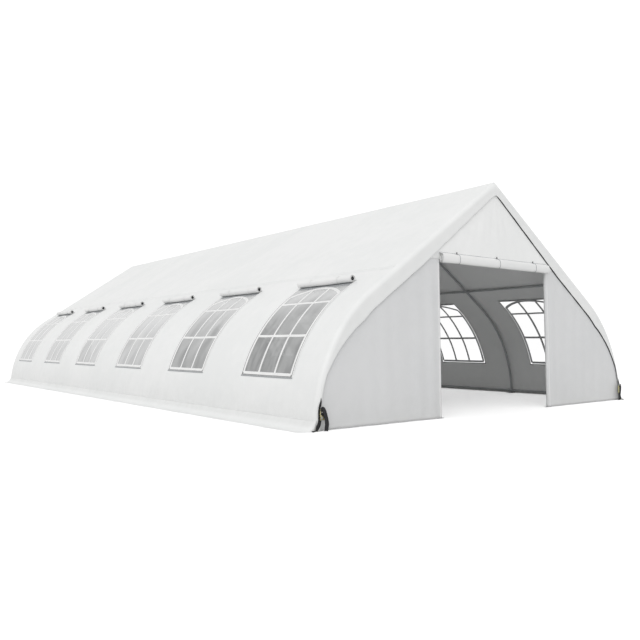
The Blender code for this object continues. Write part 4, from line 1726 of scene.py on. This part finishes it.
    def build_door_roll(self) -> None:
        """The door, rolled up: a flattened spiral, narrowed at its ties, its edge on the gable's foot."""
        thick, tall = self.roll.outer
        seat = thick + self.roll_gap
        landing = (self.roll_landing[0] - seat, tall + self.roll_landing[1])
        ring = self.roll.ring(landing)
        through = [place + offset for place in self.tie_places for offset in self.roll_lines]
        x = lines_between(-self.roll_half, self.roll_half, self.roll_step, through)[:, None]
        squeeze = self.roll_squeeze(x)
        scale = squeeze * (1.0 - self.roll_wrinkles.hump(x, by=ring[:, 1] / tall))
        out = self.gable_y + self.roll_off + seat * squeeze + ring[:, 0] * scale
        hang = np.clip(np.abs(x) / self.tie_places[-1], 0.0, self.roll_sag_end)
        z = self.door_head - self.roll_sag * np.sin(np.pi * hang) ** 2 + ring[:, 1] * scale
        piece = make_bars(f"rolled_door_{self.end.word}", ROLLED_CLOTH, [self.on_face(x, out, z)])
        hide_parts(f"{self.end.word}_door_roll")
        length = float(np.linalg.norm(np.diff(self.roll.path(landing), axis=0), axis=-1).sum())
        gable = f"gable_sheet_{self.end.word}"

    def door_ties(self) -> Rings:
        """Thin grey cords round the rolled door at each tie, and the tape that its edge is sewn to.

        Returns:
            The rings of each.
        """
        angle = np.linspace(*self.tie_turn, self.edge_tape.points)
        turn = self.roll.turned(angle)
        thick, tall = self.roll.outer
        knot = self.door_head + tall + self.knot_rise
        rings = []
        for place in self.tie_places:
            squeeze = float(self.roll_squeeze(np.array(place)))
            seat = self.gable_y + (thick + self.roll_gap) * squeeze
            out = seat + (thick * squeeze + self.tie_gap) * turn[:, 0]
            out = np.append(out, self.gable_y + self.knot_off)
            z = np.append(self.door_head + (tall * squeeze + self.tie_gap) * turn[:, 1], knot)
            rings.append(rod(self.on_face(place, out, z), self.tie_radius, sides=8))
        x = np.linspace(-self.roll_half, self.roll_half, self.edge_tape.points)
        head = self.on_face(x, self.gable_y + self.edge_off, knot)
        across = np.tile(self.sign * UP, (len(x), 1))
        return [*rings, band(head, across, self.edge_tape.half, self.edge_tape.thick)]

    def toggles(self) -> Rings:
        """A dark toggle over each tie, upright on the gable just above the roll.

        Returns:
            The rings of each.
        """
        height = self.door_head + self.roll.outer[1] + np.array(self.toggle_rise)
        ends = [self.on_face(place, self.gable_y + self.toggle_off, height) for place in self.tie_places]
        return [domed_rod(*pair, self.toggle_radius) for pair in ends]

    def shadow_closures(self) -> Rings:
        """The black closing strip along the valance's inner edge, which also paints the shadow in the gap
        under it.
        """
        x, lift, z = self.valance.closure()
        return [self.on_face(x, self.gable_y + lift, z)]

    def eyelets(self) -> Rings:
        """The dark eyelet under the peak, where the halves of the black closing strip meet.

        Returns:
            Its rings.
        """
        section = self.cover.section
        height = section.peak - self.valance.widths[-1] / math.sin(section.roof_angle) - self.eyelet_below
        ends = self.on_face(0.0, self.gable_y + np.array([0.0, self.eyelet_off]), height)
        return [domed_rod(*ends, self.eyelet_radius)]

    def jamb_zips(self) -> Rings:
        """A zip down each side of the doorway.

        Returns:
            The rings of both.
        """
        z = np.linspace(self.zip_foot, self.door_head - self.zip_below, self.zip_tape.points)
        across = np.tile(-self.sign * ACROSS, (len(z), 1))
        places = [side.value * (self.post + self.zip_offset) for side in Side]
        paths = [self.on_face(place, self.panel_y + self.zip_off, z) for place in places]
        return [band(path, across, self.zip_tape.half, self.zip_tape.thick) for path in paths]


@dataclass(frozen=True)
class Plate:
    """A plate of the ratchet: its middle from the spool's, half its length and width, and its thickness."""

    offset: Place
    halves: Pair
    thick: float


@dataclass(frozen=True)
class Bar:
    """A bar across the ratchet: its middle out of and above the spool's, its radius and half its length."""

    offset: Pair
    radius: float
    half: float


@dataclass
class CornerStrap:
    """One corner's tie-down: webbing out of a slit, a ratchet, a ground hook and the hanging tail.

    Its places are distances from the tent's middle, out of the end's face and above the ground.
    """

    end: End
    side: Side
    face: float
    thick: float = 0.0018
    rings: int = 49
    main_halves: tuple[float, ...] = (
        0.0015, 0.0090, 0.0150, 0.0125, 0.0120, 0.0135, 0.0210, 0.0230, 0.0200, 0.0110,
    )
    main_points: tuple[Place, ...] = (
        (2.976, 0.0014, 0.344),
        (2.980, 0.0018, 0.309),
        (2.988, 0.0025, 0.274),
        (3.000, 0.0030, 0.239),
        (3.006, 0.0035, 0.195),
        (3.005, 0.0040, 0.151),
        (2.999, 0.0040, 0.112),
        (3.010, 0.0040, 0.070),
        (3.031, 0.0050, 0.032),
        (3.043, 0.0055, 0.006),
    )
    tail_halves: tuple[float, ...] = (0.021, 0.0185, 0.021, 0.024, 0.0265, 0.0262, 0.025)
    tail_points: tuple[Place, ...] = (
        (2.990, 0.020, 0.205),
        (2.982, 0.033, 0.238),
        (2.966, 0.043, 0.212),
        (2.950, 0.045, 0.152),
        (2.9345, 0.042, 0.086),
        (2.934, 0.037, 0.040),
        (2.937, 0.033, 0.004),
    )
    axis: Place = (2.977, 0.016, 0.180)
    spool: Bar = Bar((0.0, 0.0), 0.0135, 0.019)
    stake: Place = (3.085, 0.008, 0.0015)
    stake_height: float = 0.013
    stake_radius: float = 0.016
    loop_lift: float = 0.004
    loop_radius: float = 0.0028
    cheek: Plate = Plate((0.0215, -0.002, -0.020), (0.046, 0.012), 0.0024)
    grip: Plate = Plate((0.0264, 0.002, 0.012), (0.038, 0.0105), 0.0020)
    pawl: Plate = Plate((0.0, 0.012, -0.020), (0.020, 0.009), 0.0022)
    wheel: Plate = Plate((0.0240, 0.0, 0.0), (0.0135, 0.0135), 0.0020)
    hub_reach: Pair = (0.012, 0.0290)
    hub_radius: float = 0.0065
    bars: tuple[Bar, ...] = (
        Bar((0.004, 0.047), 0.0046, 0.0275),
        Bar((-0.004, -0.060), 0.0036, 0.0225),
        Bar((0.004, 0.022), 0.0030, 0.0255),
    )
    teeth: int = 12
    tooth_height: float = 0.10
    tooth_power: float = 0.6
    wheel_points: int = 48
    hook_middle: Place = (3.034, 0.0025, 0.030)
    hook_axes: Pair = (0.009, 0.012)
    hook_points: int = 17
    hook_shank: tuple[Place, Place] = ((3.043, 0.0025, 0.006), (3.043, 0.0025, 0.026))
    hook_tip: tuple[Place, Place] = ((3.025, 0.0025, 0.026), (3.026, 0.0025, 0.004))
    hook_radius: float = 0.0030

    def world(self, local: Array) -> Array:
        """The strap's places turned into the tent's."""
        signs = np.array([self.side.value, self.end.value, 1.0])
        return (local + np.array([0.0, self.face, 0.0])) * signs

    def webbing(self, points: tuple[Place, ...], halves: tuple[float, ...]) -> Array:
        """Webbing on a smooth path through the points, its width in the end's plane.

        The path is a cubic Hermite curve, its slopes taken from the neighbours.

        Args:
            points: The places it passes.
            halves: Half its width at each of them.

        Returns:
            Its rings.
        """
        stops = np.array(points)
        slopes = np.gradient(stops, axis=0)
        position = np.linspace(0.0, len(stops) - 1.0, self.rings)
        index = np.minimum(position.astype(int), len(stops) - 2)
        t = (position - index)[:, None]
        first = (2 * t**3 - 3 * t**2 + 1) * stops[index] + (t**3 - 2 * t**2 + t) * slopes[index]
        second = (3 * t**2 - 2 * t**3) * stops[index + 1] + (t**3 - t**2) * slopes[index + 1]
        path = first + second
        across = unit(np.cross(unit(np.gradient(path, axis=0)), OUT))
        half = np.interp(position, np.arange(len(halves)), halves)
        return band(path, across, half, self.thick)

    def build(self) -> None:
        """The webbing with its tail, and the ratchet with its hook."""
        name = f"{self.end.word}_{self.side.word}"
        pairs = ((self.main_points, self.main_halves), (self.tail_points, self.tail_halves))
        spool, stake = np.array(self.axis), np.array(self.stake)
        reach = self.spool.half * ACROSS
        loop = np.linspace(np.array(self.main_points[-1]) + self.loop_lift * UP, stake, BAR_POINTS)
        black = [
            *(self.webbing(*pair) for pair in pairs),
            rod(np.linspace(spool - reach, spool + reach, BAR_POINTS), self.spool.radius, sides=16),
            domed_rod(stake, stake + self.stake_height * UP, self.stake_radius),
            rod(loop, self.loop_radius, sides=8),
        ]
        piece = make_bars(f"strap_webbing_{name}", WEBBING, map(self.world, black))
        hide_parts(f"corner_strap_{name}")
        steel = map(self.world, [*self.ratchet(), self.hook()])
        piece = make_bars(f"strap_ratchet_{name}", PLATED, steel)
        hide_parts(f"corner_strap_{name}")

    def ratchet(self) -> Rings:
        """The ratchet: two side plates, the spool's ends, toothed wheels, two handle plates and their bars.

        Returns:
            The rings of each.
        """
        axis = np.array(self.axis)
        start, end = self.hub_reach
        rings = []
        for sign in (-1.0, 1.0):
            mirror = np.array([sign, 1.0, 1.0])
            for part in (self.cheek, self.grip):
                rings.append(plate(axis + mirror * part.offset, UP, OUT, part.halves, part.thick))
            rings.append(self.toothed(axis + mirror * self.wheel.offset))
            hub = np.linspace(axis + sign * start * ACROSS, axis + sign * end * ACROSS, BAR_POINTS)
            rings.append(rod(hub, self.hub_radius, sides=16))
        for part in self.bars:
            middle = axis + np.array([0.0, *part.offset])
            reach = part.half * ACROSS
            rings.append(domed_rod(middle - reach, middle + reach, part.radius))
        return [*rings, plate(axis + self.pawl.offset, ACROSS, UP, self.pawl.halves, self.pawl.thick)]

    def toothed(self, centre: Array) -> Array:
        """Rings of a toothed wheel: a circle whose radius swings by a tenth, once for each tooth.

        Args:
            centre: The wheel's middle.

        Returns:
            Two rings.
        """
        angle = np.linspace(0.0, FULL_TURN, self.wheel_points, endpoint=False)
        swing = np.sin(self.teeth * angle)
        swing = np.sign(swing) * np.abs(swing) ** self.tooth_power
        reach = self.wheel.halves[0] * (1.0 + self.tooth_height * swing)
        circle = np.stack([np.zeros_like(angle), reach * np.cos(angle), reach * np.sin(angle)], axis=-1)
        return centre + circle + np.array([-0.5, 0.5])[:, None, None] * self.wheel.thick * ACROSS

    def hook(self) -> Array:
        """The hook at the foot: a wire loop through the webbing and a bent shank down to the ground.

        Returns:
            Its rings.
        """
        turn = np.linspace(0.0, np.pi, self.hook_points)
        wide, tall = self.hook_axes
        bend = np.stack([wide * np.cos(turn), 0.0 * turn, tall * np.sin(turn)], axis=-1) + self.hook_middle
        shank, tip = (np.linspace(*ends, BAR_POINTS) for ends in (self.hook_shank, self.hook_tip))
        return rod(np.concatenate([shank, bend, tip]), self.hook_radius, sides=10)


@dataclass
class FrameTrim:
    """The finish of the frame's tubes, and the bolts through its sockets."""

    cover: Cover
    socket_radius: float = 0.0225
    bolt_radius: float = 0.0065
    bolt_height: float = 0.008
    bolt_sunk: float = 0.002
    bolt_offset: float = 0.045
    tubes: tuple[str, ...] = ("arch_", "ridge_", "eave_", "base_")
    purlins: tuple[str, ...] = ("ridge_purlin", "eave_purlin_left", "eave_purlin_right")

    def dress(self) -> None:
        """Gives every tube of the frame its steel finish."""
        steel = TUBE_STEEL.material()
        for name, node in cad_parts.items():
            if name.startswith(self.tubes) or name.endswith("_door_frame"):
                node.data.materials.clear()
                node.data.materials.append(steel)

    def build_bolts(self) -> None:
        """A domed bolt head on the inner side of each socket, on both sides of its arch."""
        lean = self.cover.section.roof_angle
        bolts = []
        for name in self.purlins:
            low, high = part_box(name)
            x, z = (low.x + high.x) / 2.0, (low.z + high.z) / 2.0
            inward = unit(np.array([-np.sign(round(x, 3)) * math.cos(lean), 0.0, -math.sin(lean)]))
            for y in self.cover.arch_y[1:-1]:
                for offset in (-self.bolt_offset, self.bolt_offset):
                    foot = np.array([x, y + offset, z]) + inward * (self.socket_radius - self.bolt_sunk)
                    bolts.append(domed_rod(foot, foot + inward * self.bolt_height, self.bolt_radius, sides=8))
        make_bars("socket_bolts", TUBE_STEEL, bolts)


@dataclass(frozen=True)
class Viewpoint:
    """Where the photograph was taken from: fitted to the tent's outline, bay lines and window edges."""

    eye: Place = (-7.3057, -11.609, 0.9025)
    yaw: float = 0.6650
    pitch: float = 0.0685
    roll: float = -0.0038
    focal: float = 673.5
    frame_size: float = 640.0
    centre_row: float = 297.37
    sensor: float = 36.0
    farthest: float = 200.0

    def build(self) -> None:
        """Makes the camera: ahead from yaw and pitch, the sideways axis level, then the roll."""
        flat = math.cos(self.pitch)
        ahead = Vector((math.sin(self.yaw) * flat, math.cos(self.yaw) * flat, math.sin(self.pitch)))
        level = Vector((math.cos(self.yaw), -math.sin(self.yaw), 0.0))
        upright = level.cross(ahead)
        right = level * math.cos(self.roll) + upright * math.sin(self.roll)
        up = upright * math.cos(self.roll) - level * math.sin(self.roll)
        data = bpy.data.cameras.new("photo_camera")
        data.sensor_fit = "HORIZONTAL"
        data.sensor_width = self.sensor
        data.lens = self.focal / self.frame_size * self.sensor
        data.shift_y = (self.centre_row - self.frame_size / 2.0) / self.frame_size
        data.clip_end = self.farthest
        camera = bpy.data.objects.new("photo_camera", data)
        camera.matrix_world = Matrix.Translation(self.eye) @ Matrix((right, up, -ahead)).transposed().to_4x4()
        bpy.context.scene.collection.objects.link(camera)
        bpy.context.scene.camera = camera


@dataclass(frozen=True)
class Studio:
    """A white sweep: pale floor, even white surround and one broad soft light from the front left."""

    surround: float = 0.78
    backdrop: float = 1.15
    sun_power: float = 0.78
    sun_towards: Place = (-0.60, -0.42, 0.68)
    sun_spread: float = math.radians(40.0)
    floor_tone: float = 0.785
    floor_roughness: float = 0.9
    floor_half: float = 60.0
    floor_drop: float = 0.0006
    floor_lift: float = 0.46

    def build(self) -> None:
        """Makes the surround, the light and the floor."""
        scene = bpy.context.scene
        scene.view_settings.view_transform = "Standard"
        world = bpy.data.worlds.new("studio")
        scene.world = world
        world.use_nodes = True
        wiring = Wiring(world.node_tree)
        seen = wiring.add("ShaderNodeLightPath").outputs["Is Camera Ray"]
        strength = wiring.math("MULTIPLY_ADD", seen, self.backdrop - self.surround, self.surround)
        sky = world.node_tree.nodes["Background"].inputs
        wiring.put(sky["Strength"], strength)
        wiring.put(sky["Color"], WHITE)
        light = bpy.data.lights.new("soft_key", "SUN")
        light.energy = self.sun_power
        light.angle = self.sun_spread
        lamp = bpy.data.objects.new("soft_key", light)
        lamp.rotation_euler = Vector(self.sun_towards).to_track_quat("Z", "Y").to_euler()
        scene.collection.objects.link(lamp)
        self.build_floor()

    def build_floor(self) -> None:
        """The pale floor, lifted for the camera so that it meets the surround without a line."""
        material = bpy.data.materials.new("pale_floor")
        material.use_nodes = True
        wiring = Wiring(material.node_tree)
        shader = material.node_tree.nodes["Principled BSDF"].inputs
        wiring.put(shader["Base Color"], (self.floor_tone,) * 3)
        wiring.put(shader["Roughness"], self.floor_roughness)
        wiring.put(shader["Emission Color"], WHITE)
        seen = wiring.add("ShaderNodeLightPath").outputs["Is Camera Ray"]
        wiring.put(shader["Emission Strength"], wiring.times(seen, self.floor_lift))
        half, z = self.floor_half, -self.floor_drop
        corners = [(-half, -half, z), (half, -half, z), (half, half, z), (-half, half, z)]
        mesh = bpy.data.meshes.new("pale_floor")
        mesh.from_pydata(corners, [], [(0, 1, 2, 3)])
        mesh.materials.append(material)
        floor = bpy.data.objects.new("pale_floor", mesh)
        bpy.context.scene.collection.objects.link(floor)


def build_window_trim(rows: list[WindowRow]) -> None:
    """The small parts of both rows, one piece a kind: bars and their backs, tapes, roll spirals and ties; the
    backs, tapes and spirals also paint shade.

    Args:
        rows: The two rows of windows.
    """
    kinds = (
        ("window_bars", WHITE_TAPE, WindowRow.bars),
        ("window_shaded_bar_backs", SHADED_BACK_TAPE, WindowRow.shaded_bar_backs),
        ("window_sill_shadow_tapes", GREY_TAPE_AND_SHADE, WindowRow.sill_shadow_tapes),
        ("window_roll_shadow_tapes", GREY_TAPE_AND_SHADE, WindowRow.roll_shadow_tapes),
        ("window_cover_shade_cores", BLACK_TAPE_AND_SHADE, WindowRow.shade_cores),
        ("window_cover_ties", WHITE_TAPE, WindowRow.roll_ties),
    )
    for name, finish, parts in kinds:
        rings = [ring for row in rows for middle in row.centres for ring in parts(row, middle)]
        make_bars(name, finish, rings)


def build_end_trim(ends: list[TentEnd]) -> None:
    """The small parts of both ends, one piece a kind: ties, toggles, closing strips that also paint shadow,
    eyelets and zips.

    Args:
        ends: The two ends.
    """
    kinds = (
        ("door_ties", GREY_TAPE_AND_SHADE, TentEnd.door_ties),
        ("door_toggles", TOGGLE, TentEnd.toggles),
        ("valance_shadow_closures", BLACK_TAPE_AND_SHADE, TentEnd.shadow_closures),
        ("valance_eyelets", TOGGLE, TentEnd.eyelets),
        ("jamb_zips", WHITE_TAPE, TentEnd.jamb_zips),
    )
    for name, finish, parts in kinds:
        make_bars(name, finish, [ring for end in ends for ring in parts(end)])


def main() -> None:
    """Builds the marquee's looks around the frame, piece by piece."""
    logging.basicConfig(level=logging.INFO, format="%(name)s %(message)s")
    Viewpoint().build()
    Studio().build()
    low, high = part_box("front_valance")
    end_arch = sum(corner.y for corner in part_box("front_door_frame")) / 2.0
    section = Section(half_width=float(high.x), peak=float(high.z))
    bay = 2.0 * abs(low.y) / BAYS
    inner = (bay * number for number in range(1 - BAYS // 2, BAYS // 2))
    cover = Cover(section, abs(float(low.y)), (end_arch, *inner, -end_arch))
    rows = [WindowRow(cover, side) for side in Side]
    shell = RoofAndWalls(cover)
    shell.build_roof()
    for row in rows:
        shell.build_wall(row)
        row.build_panes()
        row.build_rolls()
        GroundSkirt(cover, row.side).build()
    shell.build_seams()
    build_window_trim(rows)
    ends = [TentEnd(Valance(cover, end)) for end in End]
    for tent_end in ends:
        tent_end.valance.build()
        tent_end.build_gable()
        tent_end.build_door_roll()
        for side in Side:
            tent_end.build_side_panel(side)
            CornerStrap(tent_end.end, side, cover.end_y).build()
    build_end_trim(ends)
    trim = FrameTrim(cover)
    trim.dress()
    trim.build_bolts()


if __name__ == "__main__":
    main()
